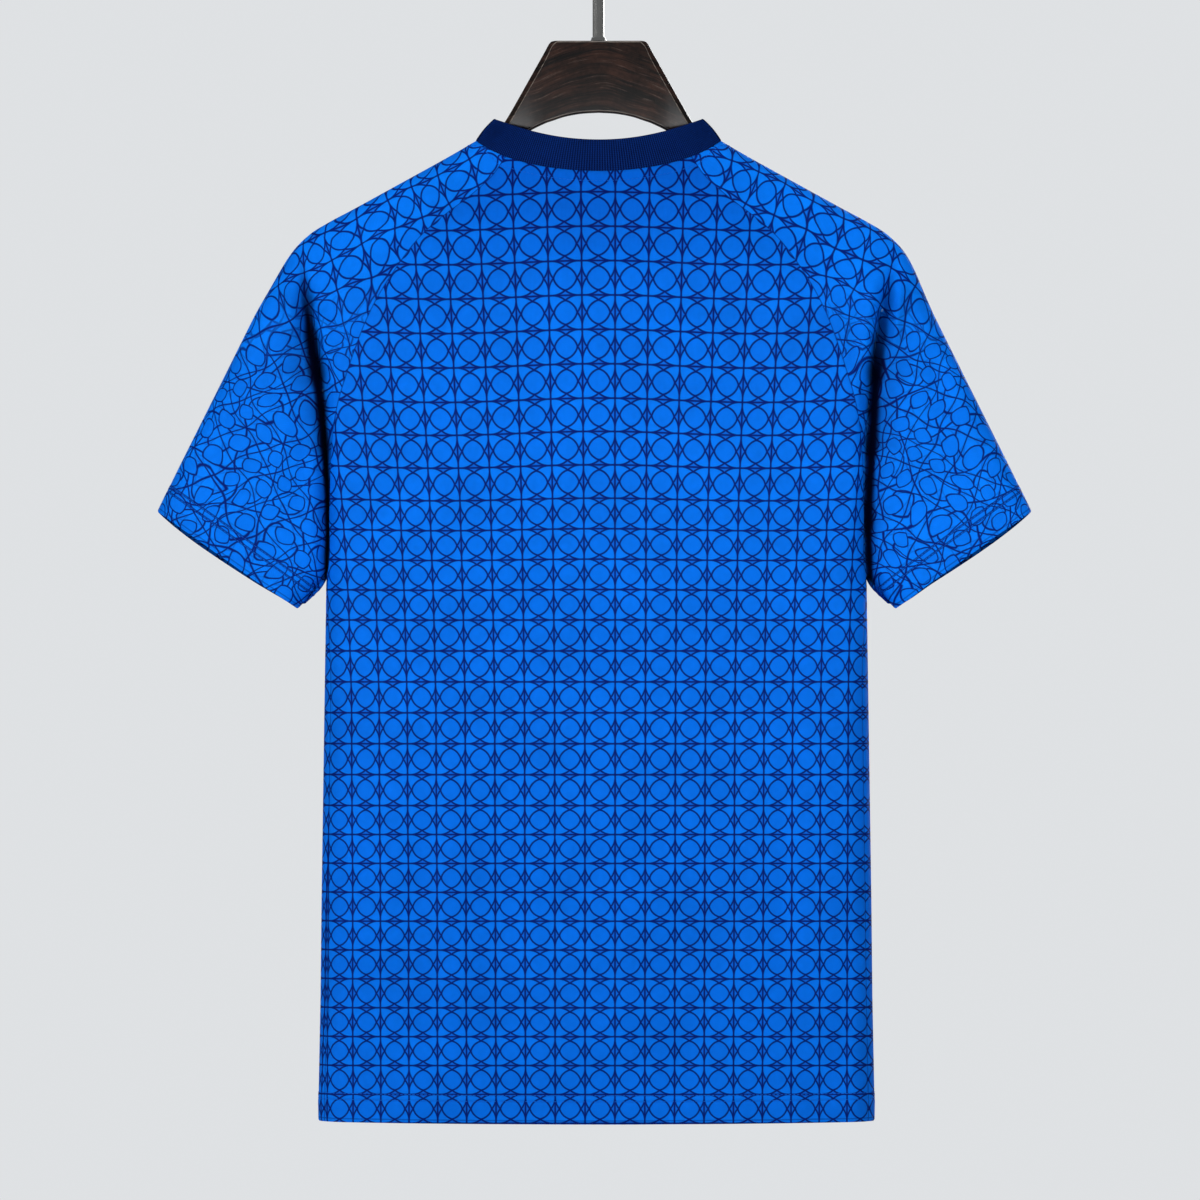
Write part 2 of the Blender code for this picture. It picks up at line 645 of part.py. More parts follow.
def hook_path():
    """Centre line of the wire: straight shaft, one bend out, then round the crook."""
    foot = WOOD_TOP + FERRULE_HEIGHT + SHAFT_FOOT
    start = math.radians(CROOK_START)
    join = (CROOK_RADIUS * math.cos(start), CROOK_CENTRE_Z + CROOK_RADIUS * math.sin(start))
    points = [(0.0, foot), (0.0, 0.5 * (foot + SHAFT_TOP_Z))]
    reach = (join[0] + BEND_PULL_HIGH * math.sin(start), join[1] - BEND_PULL_HIGH * math.cos(start))
    corners = ((0.0, SHAFT_TOP_Z), (0.0, SHAFT_TOP_Z + BEND_PULL_LOW), reach, join)
    for k in range(BEND_STEPS):
        t = k / BEND_STEPS
        weights = ((1 - t) ** 3, 3 * t * (1 - t) ** 2, 3 * t * t * (1 - t), t ** 3)
        points.append(tuple(sum(w * c[i] for w, c in zip(weights, corners)) for i in (0, 1)))
    for k in range(CROOK_STEPS + 1):
        a = math.radians(CROOK_START + (CROOK_END - CROOK_START) * k / CROOK_STEPS)
        points.append((CROOK_RADIUS * math.cos(a), CROOK_CENTRE_Z + CROOK_RADIUS * math.sin(a)))
    return points


def build_hook(collection, finish):
    """Round wire along the hook's centre line, with filled ends."""
    curve = bpy.data.curves.new("hanger_hook", "CURVE")
    curve.dimensions = "3D"
    curve.bevel_depth = WIRE_RADIUS
    curve.bevel_resolution = 3
    curve.use_fill_caps = True
    path = hook_path()
    spline = curve.splines.new("POLY")
    spline.points.add(len(path) - 1)
    for point, (x, z) in zip(spline.points, path):
        point.co = (x, 0.0, z, 1.0)
    curve.materials.append(finish)
    made = bpy.data.objects.new("hanger_hook", curve)
    collection.objects.link(made)


def main():
    for old in list(bpy.data.objects):
        bpy.data.objects.remove(old, do_unlink=True)
    collection = bpy.data.collections.new("pre_match_jersey")
    bpy.context.scene.collection.children.link(collection)
    finishes = {name: material(name) for name in COLOURS}
    build_cloth(collection, finishes["cloth"])
    build_collar(collection, finishes["rib"])
    build_bar(collection, finishes["wood"])
    build_ferrule(collection, finishes["chrome"])
    build_hook(collection, finishes["chrome"])


main()
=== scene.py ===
"""Looks of a pre-match jersey hung on a wooden hanger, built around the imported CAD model.

Metres, +Z up, the wearer's back faces -Y.  Tables of the cloth are in millimetres: x across,
positive to the right in the view of the back, and drop below the top of the hanger's wood.
"""

import math

import bpy
import numpy as np
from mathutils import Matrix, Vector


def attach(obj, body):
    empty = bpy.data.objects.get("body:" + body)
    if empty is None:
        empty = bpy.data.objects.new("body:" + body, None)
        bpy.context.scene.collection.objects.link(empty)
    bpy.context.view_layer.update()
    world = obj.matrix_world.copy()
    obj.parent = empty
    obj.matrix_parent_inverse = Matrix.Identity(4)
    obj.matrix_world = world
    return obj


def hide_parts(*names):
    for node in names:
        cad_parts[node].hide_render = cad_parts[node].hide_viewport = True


bl_info = {
    "name": "Pre-match jersey",
    "version": (1, 0, 0),
    "blender": (4, 5, 0),
    "location": "View3D > Sidebar > Jersey",
    "description": "Builds the cloth, stitching, hanger and stage of a printed raglan jersey",
    "category": "Object",
}

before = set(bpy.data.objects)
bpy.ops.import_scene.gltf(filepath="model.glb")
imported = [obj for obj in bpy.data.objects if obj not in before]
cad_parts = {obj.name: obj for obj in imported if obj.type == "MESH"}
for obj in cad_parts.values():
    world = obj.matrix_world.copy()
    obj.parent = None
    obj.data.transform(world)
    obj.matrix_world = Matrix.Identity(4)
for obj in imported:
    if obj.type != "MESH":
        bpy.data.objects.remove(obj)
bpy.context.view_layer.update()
MM = 0.001

# ---- sizes that the CAD model has too, in millimetres, but for WOOD_TOP in metres -------------
WOOD_TOP = -0.092
HEM_DROP = 802.9
HEM_SAG = 2.0
SIDE_SEAM_IN = 4.5
NECK_HALF_WIDTH = 90.9
NECK_DROP_BACK = 97.1
NECK_DROP_FRONT = 160.0
NECK_OVAL = (100.0, 40.0)
COLLAR_HALF_WIDTH = 77.2
COLLAR_DROP_BACK = 73.6
COLLAR_DROP_SHOULDER = 57.6
COLLAR_DROP_FRONT = 138.0
COLLAR_LEAN = 3.0
SLEEVE_SWING = 3.0
BODY_SHIFT = 1.5
SHOULDER_EDGE = 9.0
SHOULDER_RISE = 9.0
BODY_EDGE = 20.0
BODY_RISE = 24.0
SLEEVE_EDGE = 13.0
SLEEVE_RISE = 13.0
SLEEVE_DEPTH = 19.0
SPREAD = 90.0
FOLD_TOP = 150.0
FOLD_FADE = 80.0
FOLD_FLOOR = 4.0
FLOOR_ENDS = 395.0
FLOOR_FADE = 25.0
ARMPIT_DROP = 395.7
SHOULDER_TOP = (0.0, 22.5)
BAR_HALF_THICKNESS = 6.4
BAR_TIP = 216.0
ARM_HEIGHT = 21.0
ARM_STARTS = 96.0
TIP_ROUND = 10.0
# drop where the jersey starts to sway, and over what length the body's and the sleeves' grows
SWAY_TOP = 150.0
SWAY_GROWS = 250.0
SWING_GROWS = 60.0
# start and length over which the sleeves' part grows outwards, and ends below the cuffs
SWING_ACROSS = (150.0, 100.0)
SWING_ENDS = (400.0, 30.0)

# ---- sizes of the scene alone, in millimetres --------------------------------------------------
# how much narrower the fold's edge on the body gets, and over what length above the armpit
FOLD_STEEPER = 9.0
FOLD_STEEPER_OVER = 60.0
# least half depth of the cloth along the neck
NECK_SIDE_DEPTH = 2.7
# how far the front's cuff laps below the back's
CUFF_LAP = 3.1
# from the cloth's outer face down to the bar
BAR_CLEARANCE = 2.4
# half depth at which creases reach their full height, so that they die out on the edges
CREASES_FULL = 11.5

# outer edge (x, drop), back seam (x, drop), front seam (x, drop), fold's share of the way out
SLEEVE_SECTIONS = np.array((
    (90.9, 74.2, 69.0, 86.1, 86.5, 100.5, 0.35),
    (113.2, 87.1, 78.7, 100.2, 93.0, 110.5, 0.40),
    (136.0, 99.7, 90.5, 111.3, 101.0, 119.0, 0.45),
    (158.0, 111.8, 101.7, 120.2, 109.0, 126.0, 0.50),
    (180.0, 123.9, 113.2, 128.8, 117.5, 133.5, 0.56),
    (200.0, 134.6, 126.1, 139.5, 128.5, 143.5, 0.64),
    (215.5, 144.6, 140.2, 155.1, 141.5, 157.5, 0.72),
    (229.6, 160.3, 158.4, 182.2, 159.0, 183.5, 0.76),
    (245.2, 190.0, 171.4, 207.8, 171.8, 208.5, 0.57),
    (261.6, 222.8, 184.0, 242.6, 184.0, 242.8, 0.33),
    (276.4, 252.6, 193.3, 275.3, 193.3, 275.3, 0.165),
    (289.6, 279.0, 197.2, 307.2, 197.2, 307.2, 0.070),
    (301.6, 303.0, 198.6, 350.0, 198.6, 350.0, 0.035),
    (312.6, 325.2, 200.4, 395.7, 200.4, 395.7, 0.035),
    (324.1, 349.2, 221.5, 421.5, 221.5, 421.5, 0.080),
))
ARMPIT_SECTION = 13

# the body's side under the sleeve: drop and half width
SIDE_LINE = np.array((
    (150.0, 224.0), (170.7, 219.3), (189.6, 215.2), (213.0, 212.2), (236.7, 209.6),
    (260.4, 206.8), (279.7, 205.4), (310.9, 202.6), (345.0, 201.0), (395.7, 200.4),
    (489.0, 201.8), (563.0, 202.9), (637.0, 204.0), (711.6, 204.8), (786.0, 206.3),
    (802.9, 206.0),
))

# along the deep fold, by drop: how far it leans in from the side line
FOLD_LEAN = np.array(((150.0, 0.0), (185.0, 2.0), (233.0, 4.2), (266.0, 4.4), (298.0, 3.2),
                      (331.0, 2.4), (363.0, 1.8), (395.7, 0.0)))
# the painted shade of the deep fold, by drop: how far out its middle lies and its half width,
# on the left and then on the right
FOLD_SHADE_PAINT = np.array((
    (158.0, 0.5, 1.8, 1.5, 2.4), (172.0, 1.0, 2.9, 2.4, 3.6), (186.0, 1.7, 3.8, 2.9, 4.8),
    (200.0, 2.4, 4.7, 3.0, 5.6), (228.0, 4.0, 6.2, 2.8, 6.4), (259.0, 3.3, 5.8, 4.2, 6.0),
    (290.0, 1.6, 4.4, 4.4, 5.2), (331.0, 0.4, 3.2, 3.5, 4.7), (363.0, 0.0, 2.5, 2.9, 4.0),
    (412.0, 0.0, 2.2, 2.2, 3.2),
))
# drop where that painted shade starts, over what length it grows on the left and on the
# right, and the drop where it has ended with the length over which it fades
DARK_TOP = 152.0
DARK_GROWS = (56.0, 96.0)
DARK_ENDS = (412.0, 14.0)
# the softer painted shade beside it, on the sleeve: its strength, its width in half widths of
# the fold, and where it draws in by one half width: start and length
FLANK = 0.44
FLANK_WIDTH = 3.0
FLANK_NARROWS = (240.0, 100.0)

# front view of the hanger's bar: place along it, drops of its top and underside
BAR_SECTIONS = np.array((
    (0.0, 0.0, 53.2), (13.0, 0.0, 54.0), (25.0, 0.0, 56.2), (33.5, 0.2, 59.0),
    (36.6, 2.2, 60.0), (40.0, 8.4, 61.3), (49.0, 24.4, 65.7), (59.0, 42.2, 71.6),
    (68.3, 58.2, 78.3), (75.0, 67.0, 83.9), (82.0, 73.4, 90.0), (90.0, 78.9, 96.6),
))
# cut of its long edges: place along it, height and depth above, height and depth below, and
# how far the face leans in towards the underside
BAR_CUTS = np.array((
    (0.0, 0.8, 1.0, 1.3, 1.3, 0.0), (31.0, 0.8, 1.0, 1.3, 1.3, 0.0),
    (34.0, 3.2, 2.0, 1.4, 1.3, 0.0), (37.0, 7.0, 2.9, 1.5, 1.4, 0.0),
    (41.0, 7.4, 3.0, 1.6, 1.5, 0.1), (46.0, 7.4, 3.0, 1.6, 1.5, 0.9),
    (52.0, 7.2, 3.1, 1.7, 1.4, 2.1), (58.0, 7.0, 3.2, 1.8, 1.4, 2.4),
    (66.0, 6.6, 3.2, 1.8, 1.4, 2.4), (75.0, 6.0, 3.4, 2.0, 1.6, 2.2),
    (84.0, 5.6, 4.0, 4.4, 3.2, 1.2), (90.0, 5.4, 4.4, 5.4, 4.4, 0.0),
    (216.0, 5.4, 4.4, 5.4, 4.4, 0.0),
))

# the body at its thickest: drop and half depth
BODY_DEPTH = np.array((
    (60.0, 24.0), (97.0, 27.0), (160.0, 31.0), (330.0, 34.0), (560.0, 33.0), (803.0, 30.0),
))

# folds of the CAD model, alike left and right: x0, drop0, x1, drop1, width, height
MAIN_FOLDS = (
    (226.0, 183.0, 223.0, 224.0, 5.0, 2.6),
    (207.0, 190.0, 201.5, 236.0, 4.5, 1.8),
    (246.0, 222.0, 262.0, 300.0, 9.0, -1.8),
    (60.0, 170.0, 150.0, 330.0, 20.0, -2.2),
    (120.0, 420.0, 150.0, 640.0, 16.0, 1.6),
    (70.0, 600.0, 60.0, 800.0, 14.0, -1.8),
)

# creases listed one by one: start, middle and end (x, drop), width and height of each
CREASES = {
    "back": (
        # down the body
        (-121, 380, -130, 560, -116, 792, 9.0, -1.4),
        (-98, 420, -105, 600, -92, 800, 11.0, 1.1),
        (152, 400, 139, 600, 150, 800, 8.0, -1.2),
        (120, 360, 112, 560, 122, 760, 10.0, 1.0),
        (10, 480, 24, 640, 4, 795, 14.0, 0.9),
        (-40, 700, -47, 750, -40, 800, 7.0, -0.8),
        (66, 690, 58, 750, 66, 800, 7.0, 0.8),
        (-172, 520, -180, 640, -168, 790, 6.0, 0.9),
        (178, 560, 186, 680, 176, 795, 6.0, -0.8),
        # across under the collar and over the shoulder blades
        (-70, 135, 0, 152, 72, 133, 14.0, -1.1),
        (88, 150, 112, 230, 104, 330, 9.0, -1.1),
        (-84, 150, -112, 235, -100, 340, 9.0, -1.0),
        (40, 260, 66, 330, 60, 420, 12.0, -0.9),
        # drawn from the armpits
        (-194, 392, -165, 352, -128, 332, 5.0, -1.3),
        (-192, 410, -160, 374, -118, 357, 5.5, 1.0),
        (-190, 430, -150, 407, -104, 400, 6.0, -0.8),
        (193, 392, 168, 354, 134, 338, 5.0, -1.2),
        (192, 410, 162, 377, 122, 362, 5.5, 1.0),
        (188, 432, 152, 411, 112, 404, 6.0, -0.8),
        # beside the top of the deep folds
        (-220, 170, -215, 198, -211, 236, 3.4, -2.0),
        (-230, 174, -228, 200, -225, 238, 3.2, 1.3),
        (-206, 178, -203, 206, -199, 242, 3.2, 1.4),
        (-196, 190, -192, 218, -190, 250, 3.2, -1.1),
        (222, 158, 214, 190, 209, 230, 3.6, -2.0),
        (229, 176, 223, 208, 219, 252, 3.2, 1.3),
        (205, 172, 201, 204, 197, 246, 3.4, 1.3),
        (194, 196, 190, 222, 188, 252, 3.2, -0.9),
        # sleeves
        (-248, 205, -263, 270, -286, 338, 7.0, -1.1),
        (-228, 236, -232, 305, -250, 384, 5.5, 1.2),
        (-214, 262, -218, 330, -236, 398, 4.5, -1.0),
        (-268, 250, -278, 295, -300, 340, 5.0, 0.8),
        (-122, 106, -160, 128, -204, 156, 7.0, -0.7),
        (250, 208, 262, 272, 284, 342, 7.0, -1.0),
        (228, 240, 236, 310, 252, 386, 5.5, 1.1),
        (215, 268, 221, 336, 240, 400, 4.5, -0.9),
        (120, 106, 162, 130, 202, 155, 7.0, -0.7),
    ),
    "front": (
        (-110, 400, -122, 580, -108, 795, 10.0, 1.2),
        (-140, 430, -150, 600, -141, 790, 8.0, -1.2),
        (136, 390, 126, 590, 140, 798, 9.0, 1.1),
        (104, 430, 96, 610, 106, 790, 9.0, -1.1),
        (-14, 470, -26, 640, -8, 795, 13.0, -1.0),
        (44, 660, 50, 730, 42, 800, 8.0, 0.8),
        (-60, 690, -54, 750, -62, 800, 7.0, -0.8),
        (-96, 190, -118, 260, -108, 350, 9.0, -1.1),
        (94, 188, 120, 262, 110, 352, 9.0, -1.0),
        (-60, 205, 0, 224, 62, 203, 12.0, -0.9),
        (-192, 396, -160, 360, -122, 344, 5.5, -1.2),
        (-190, 416, -152, 388, -112, 376, 5.5, 0.9),
        (192, 396, 163, 362, 126, 346, 5.5, -1.2),
        (190, 416, 156, 390, 114, 378, 5.5, 0.9),
        (-246, 212, -258, 280, -280, 344, 7.0, -1.1),
        (-226, 246, -233, 316, -252, 388, 5.5, 1.1),
        (247, 210, 260, 278, 283, 345, 7.0, -1.1),
        (227, 244, 234, 314, 253, 387, 5.5, 1.1),
        (-120, 108, -158, 130, -200, 158, 7.0, -0.7),
        (122, 108, 160, 131, 203, 158, 7.0, -0.7),
    ),
}
# slow waves of the slack cloth: across, down, phase, height
SLACK = (
    (0.112, 0.021, 0.4, 0.26), (0.071, -0.048, 1.9, 0.28), (0.036, 0.083, 3.3, 0.24),
    (0.155, 0.062, 5.1, 0.14), (-0.092, 0.117, 2.2, 0.14), (0.029, -0.031, 0.9, 0.45),
)

# the print: drop of some of its rows, and its pitch across at some drops
PRINT_ROWS = np.array((
    (63.3, -2.0), (114.3, 0.0), (267.1, 6.0), (340.6, 9.0), (429.6, 13.0), (566.9, 19.0),
    (780.6, 29.0), (844.7, 32.0),
))
PRINT_PITCH = np.array((
    (115.0, 25.4), (192.0, 24.5), (266.0, 23.8), (340.0, 23.1), (415.0, 22.75),
    (489.0, 22.4), (711.0, 22.2), (803.0, 22.1),
))
# by drop: middle of the print, and how much closer its columns stand towards the sides
PRINT_MIDDLE = np.array(((115.0, -0.3, 0.06), (266.0, 0.3, 0.07), (340.0, 0.6, 0.09),
                         (415.0, 0.9, 0.135), (489.0, 1.1, 0.12), (803.0, 1.1, 0.10)))
PRINT_HALF_WIDTH = 200.0
# slow wave of its rows: height and length; the drop where it has ended, and its fade's length
PRINT_WAVE = (1.6, 235.0)
WAVE_FADES = (460.0, 200.0)
# how much more red, green and blue the cloth gives back where painted light lifts its tone by 1
PAINTED_LIGHT_TINT = (0.20, 0.23, 0.17)
# painted light on a sleeve: its lift at the seams, the distance in metres over which it rises
# to 1, and the share that it loses where the second lattice shows
SLEEVE_PAINTED_LIGHT = (0.45, 0.030)
NET_LOSS = 0.25
# painted light on a panel about its middle height: most, drop, half height; then the painted
# shade under the collar: most, and in metres where that starts to fade and over what
PANEL_PAINTED_LIGHT = (0.35, 330.0, 170.0)
COLLAR_PAINTED_SHADE = (1.1, 0.008, 0.10)
# share of the length taken in depth that the print follows
PRINT_DEPTH_SHARE = 0.45
SLEEVE_PITCH = 22.8
SLEEVE_CLOSER = 0.16
SLEEVE_MIDDLE = (250.0, 290.0)
SLEEVE_TURN = math.radians(25.0)
OVERLAY_PITCH = 31.0
OVERLAY_TURN = math.radians(-17.0)
# the sleeve's print follows depth in full at the outer edge; how far in, and over what length,
# that has fallen to the share below
SLEEVE_FALLS = (28.0, 14.0)
SLEEVE_SHARE = 0.25
# drop where the sleeve's waves start to grow and its second lattice to set in, and the length
WAVES_GROW = (110.0, 150.0)
OVERLAY_SETS_IN = (175.0, 70.0)
# how strongly the waves draw the first lattice at the top, what they gain, and the second one
FIRST_WAVING = (0.28, 0.37)
SECOND_WAVING = 0.5
# arcs of one print cell, in cells
RING = 0.4956
RING_IN = 0.127
BOW = 0.6145
BOW_UP = 0.40
# waves that draw the sleeve's print out of square: along, round, phase, height in cells
SLEEVE_WAVES = (
    ((0.062, 0.031, 0.3), (0.17, 0.09)), ((-0.041, 0.078, 2.1), (-0.10, 0.18)),
    ((0.108, -0.052, 4.0), (0.10, 0.12)), ((0.025, 0.138, 1.2), (0.12, -0.07)),
    ((0.169, 0.090, 5.2), (-0.06, 0.07)), ((-0.120, 0.155, 0.7), (0.05, 0.06)),
)

# a grid times this is laid flat on the hanger's plane
FLATTENED = np.array([1.0, 0.0, 1.0])

# ---- density of the finer grids --------------------------------------------------------------
PANEL_COLUMNS = 66
FLAT_SHARE = 0.78
UPPER_STEPS = 8
LOWER_STEP = 3.0
SLEEVE_STEPS = 9
CUFF_STEPS = 26
SEAM_TO_FOLD = 16
FOLD_TO_EDGE = 34
EDGE_STEPS = 8
# shares of the half width of a panel's last columns, and distances of its last rows from the hem
LAST_SHARES = (0.979, 0.986, 0.992, 0.996, 1.0)
HEM_ROWS = (23.0, 21.6, 20.6, 20.0, 19.4, 18.0, 16.6, 16.0,
            15.4, 14.0, 11.0, 8.0, 5.0, 2.5, 1.0, 0.0)
# shares of the way across the collar's band, from its free edge to the neck seam
BAND_SHARES = (0.0, 0.012, 0.035, 0.07, 0.13, 0.22, 0.34,
               0.48, 0.62, 0.75, 0.86, 0.94, 0.985, 1.0)
COLUMNS_A_RIB = 6
# share of the band over which its free edge is rounded, and knitted loops across the band
BAND_EDGE = 0.055
LOOPS_ACROSS_BAND = 17.0

# ---- seams and turned edges, in metres ---------------------------------------------------------
# a seam's half width, and the length, reach and start of the gathers beside it
GROOVE_WIDTH = 0.0018
GATHER_LENGTH = 0.0017
GATHER_REACH = 0.0050
GATHER_START = 0.0015
# how far a turned edge stands out, over what it ends, and the half width of a sewn row in it
BAND_RISE = 0.00030
BAND_END = 0.0015
ROW_WIDTH = 0.0009
# rounding of the edge itself: depth and reach
ROUND_DEPTH = 0.00055
ROUND_REACH = 0.0012
# line that the fold of the turned edge draws beside the edge
TURN_LINE = 0.0027

# ---- stage -------------------------------------------------------------------------------------
# share of the floor's tone that its matt base gives back, and its glow for the camera alone
STAGE_MATT = 0.45
STAGE_GLOW = 0.62
# strength of the air as light, and what is added to it for the camera alone
AIR_LIGHT = 0.19
AIR_SEEN = 0.73
SENSOR_WIDTH = 36.0
VIEW_ENDS = 100.0
# place, width and height in metres, and power in watts of each lamp
LAMPS = (
    ("key_light", (0.25, -0.95, -0.42), (2.6, 0.22), 11.2),
    ("side_light", (-2.0, -1.5, -0.30), (0.8, 0.8), 24.0),
    ("top_light", (0.2, -0.3, 1.7), (1.0, 1.0), 17.5),
    ("front_light", (0.9, 2.3, 0.2), (1.2, 1.2), 42.0),
)


# ---- property groups -------------------------------------------------------------------------
def length_property(name, description, default):
    """A size in metres that the user may change."""
    return bpy.props.FloatProperty(
        name=name, description=description, default=default, min=0.0, precision=5,
        subtype="DISTANCE", unit="LENGTH")


def colour_property(name, description, default):
    """A linear colour that the user may change."""
    return bpy.props.FloatVectorProperty(
        name=name, description=description, default=default, size=3, min=0.0, max=1.0,
        subtype="COLOR")


class JerseyClothSettings(bpy.types.PropertyGroup):
    """Sizes and colours of the printed cloth."""

    wall: length_property("Wall", "Thickness of the knit", 0.0010)
    groove: length_property("Seam groove", "How deep a sewn seam draws the cloth in", 0.00045)
    pucker: length_property("Pucker", "Height of the small gathers along the seams", 0.00016)
    crease_scale: bpy.props.FloatProperty(
        name="Creases", description="Share of the hand-set creases", default=1.6, min=0.0, max=2.0)
    ground: colour_property("Ground", "Azure between the lines", (0.0006, 0.163, 0.81))
    cell: colour_property("Round cell", "Inside of the round cells", (0.0004, 0.143, 0.745))
    lens: colour_property("Lens", "Slim shapes along the lattice lines", (0.002, 0.122, 0.665))
    line: colour_property("Line", "Navy of the printed lines", (0.0004, 0.0095, 0.142))
    seam: colour_property("Seam shade", "Shade in the seams and along the rows of stitches",
                          (0.0002, 0.014, 0.16))
    # painted shade: near-black colour put into the deep fold, where the shade falls
    deep: colour_property("Deep fold", "Navy in the depth of the fold", (0.0, 0.0004, 0.009))
    inside: colour_property("Inside", "Unprinted inner face", (0.16, 0.36, 0.74))
    line_width: bpy.props.FloatProperty(
        name="Line width", description="Half width of a line, in cells", default=0.0265, min=0.0)
    overlay_width: bpy.props.FloatProperty(
        name="Second lines", description="Half width of the sleeves' second lines, in cells",
        default=0.022, min=0.0)
    knit_stitches: bpy.props.FloatProperty(
        name="Stitches", description="Knitted stitches to a cell", default=26.0, min=1.0)


class JerseyCollarSettings(bpy.types.PropertyGroup):
    """Sizes and colours of the ribbed collar."""

    ribs: bpy.props.IntProperty(
        name="Ribs", description="Number of ribs round the neck", default=288, min=24)
    relief: length_property("Relief", "Height of a rib over its furrow", 0.00042)
    wall: length_property("Wall", "Thickness of the doubled rib", 0.0019)
    bulge: length_property("Bulge", "How far the band swells between its edges", 0.0008)
    crest: colour_property("Crest", "Navy on the ribs", (0.0019, 0.0218, 0.152))
    # painted shade: the dark put into the furrows between the ribs
    furrow: colour_property("Furrow", "Navy between the ribs", (0.0003, 0.0015, 0.017))


class JerseyStitchSettings(bpy.types.PropertyGroup):
    """Sizes and colour of the stitching."""

    stitch: length_property("Stitch", "Length of one stitch", 0.0023)
    gap: length_property("Gap", "Bare stretch between two stitches", 0.0007)
    thread: length_property("Thread", "Radius of the sewing thread", 0.00022)
    first_row: length_property("First row", "Cuff and hem edge to the first row", 0.017)
    second_row: length_property("Second row", "Cuff and hem edge to the second row", 0.0215)
    neck_row: length_property("Neck row", "Neck seam to its top stitching", 0.0075)
    colour: colour_property("Thread colour", "Colour of the thread", (0.002, 0.11, 0.62))


class JerseyHangerSettings(bpy.types.PropertyGroup):
    """Sizes and colours of the hanger."""

    edge_round: length_property("Edge rounding", "How far each edge of the bar is eased", 0.0006)
    dark: colour_property("Dark wood", "Deep tone between the grain", (0.0022, 0.0016, 0.0015))
    light: colour_property("Light wood", "Light tone of the grain", (0.025, 0.0095, 0.0058))
    # pale wear rubbed on the edges, which also paints the highlight that the edges catch
    wear_and_edge_highlight: colour_property("Worn edge", "Tone of the rubbed edges", (0.24, 0.205, 0.175))
    metal: colour_property("Metal", "Plating of hook and ferrule", (0.60, 0.595, 0.58))


class JerseyStageSettings(bpy.types.PropertyGroup):
    """Floor, light and camera."""

    floor_drop: length_property("Floor below hem", "Height of the hem over the floor", 0.25)
    floor_reach: length_property("Floor reach", "Half the side of the floor", 4.0)
    camera_distance: length_property("Camera distance", "Camera to the hanger's plane", 10.0)
    frame_width: length_property("Frame width", "Width of the view at the hanger", 0.8904)
    centre_x: bpy.props.FloatProperty(
        name="Frame centre X", description="Middle of the view across", default=0.0011,
        subtype="DISTANCE", unit="LENGTH", precision=5)
    centre_z: bpy.props.FloatProperty(
        name="Frame centre Z", description="Middle of the view in height", default=-0.5068,
        subtype="DISTANCE", unit="LENGTH", precision=5)
    floor_tone: colour_property("Floor", "Pale tone of the floor", (0.80, 0.82, 0.84))
    air: colour_property("Air", "Pale tone round the object", (0.80, 0.82, 0.84))


# ---- rules of the cloth's form ---------------------------------------------------------------
def ease(t):
    """Rise from 0 to 1 that starts steep and ends level: 1 - (1 - t) squared."""
    t = np.clip(t, 0.0, 1.0)
    return 1.0 - (1.0 - t) ** 2


def step(t):
    """Rise from 0 to 1, level at both ends: 3 t squared - 2 t cubed."""
    t = np.clip(t, 0.0, 1.0)
    return t * t * (3.0 - 2.0 * t)


def quarter_round(distance, edge, rise):
    """Quarter of an ellipse: 0 on the edge, rise at a distance of edge in from it."""
    t = np.clip(distance / edge, 0.0, 1.0)
    return rise * np.sqrt(1.0 - (1.0 - t) ** 2)


def unit(vectors):
    """Vectors divided by their own length."""
    return vectors / np.maximum(np.linalg.norm(vectors, axis=-1, keepdims=True), 1e-12)


def curve_through(rows, at):
    """Catmull-Rom curve through the rows of a table, read at row numbers with fractions."""
    padded = np.concatenate([2 * rows[:1] - rows[1:2], rows, 2 * rows[-1:] - rows[-2:-1]])
    first = np.minimum(at.astype(int), len(rows) - 2)
    t = (at - first)[:, None]
    a, b, c, d = (padded[first + k] for k in range(4))
    return 0.5 * (2 * b + (c - a) * t + (2 * a - 5 * b + 4 * c - d) * t ** 2
                  + (3 * b - a - 3 * c + d) * t ** 3)


def nearest_on_path(x, drop, path):
    """Shortest distance of points to a path of straight stretches, and the share along it."""
    start = path[:-1]
    along = path[1:] - start
    point = np.stack([x, drop], axis=-1)[..., None, :]
    t = np.clip(np.sum((point - start) * along, axis=-1) / np.sum(along * along, axis=-1), 0, 1)
    away = np.sum((point - start - t[..., None] * along) ** 2, axis=-1)
    best = np.argmin(away, axis=-1)[..., None]
    share = (best + np.take_along_axis(t, best, axis=-1)) / len(start)
    return np.sqrt(np.take_along_axis(away, best, axis=-1))[..., 0], share[..., 0]


EDGE_POINTS = curve_through(
    SLEEVE_SECTIONS[:, :2], np.linspace(0, len(SLEEVE_SECTIONS) - 1, 14 * EDGE_STEPS + 1))
OUTER_PATH = np.concatenate([[SHOULDER_TOP], EDGE_POINTS])


def fold_lean(drop):
    """How far the sleeve laps over the body's edge along the deep fold, in millimetres."""
    return np.interp(drop, FOLD_LEAN[:, 0], FOLD_LEAN[:, 1])


def side_x(drop):
    """Half width of the body at a drop, out to the fold under the sleeve."""
    return np.interp(drop, SIDE_LINE[:, 0], SIDE_LINE[:, 1]) - fold_lean(drop)


PIT_DROPS = np.linspace(SIDE_LINE[0, 0], ARMPIT_DROP, 40)
PIT_POINTS = np.concatenate([np.stack([side_x(PIT_DROPS), PIT_DROPS], axis=-1),
                             SLEEVE_SECTIONS[-1:, 2:4]])


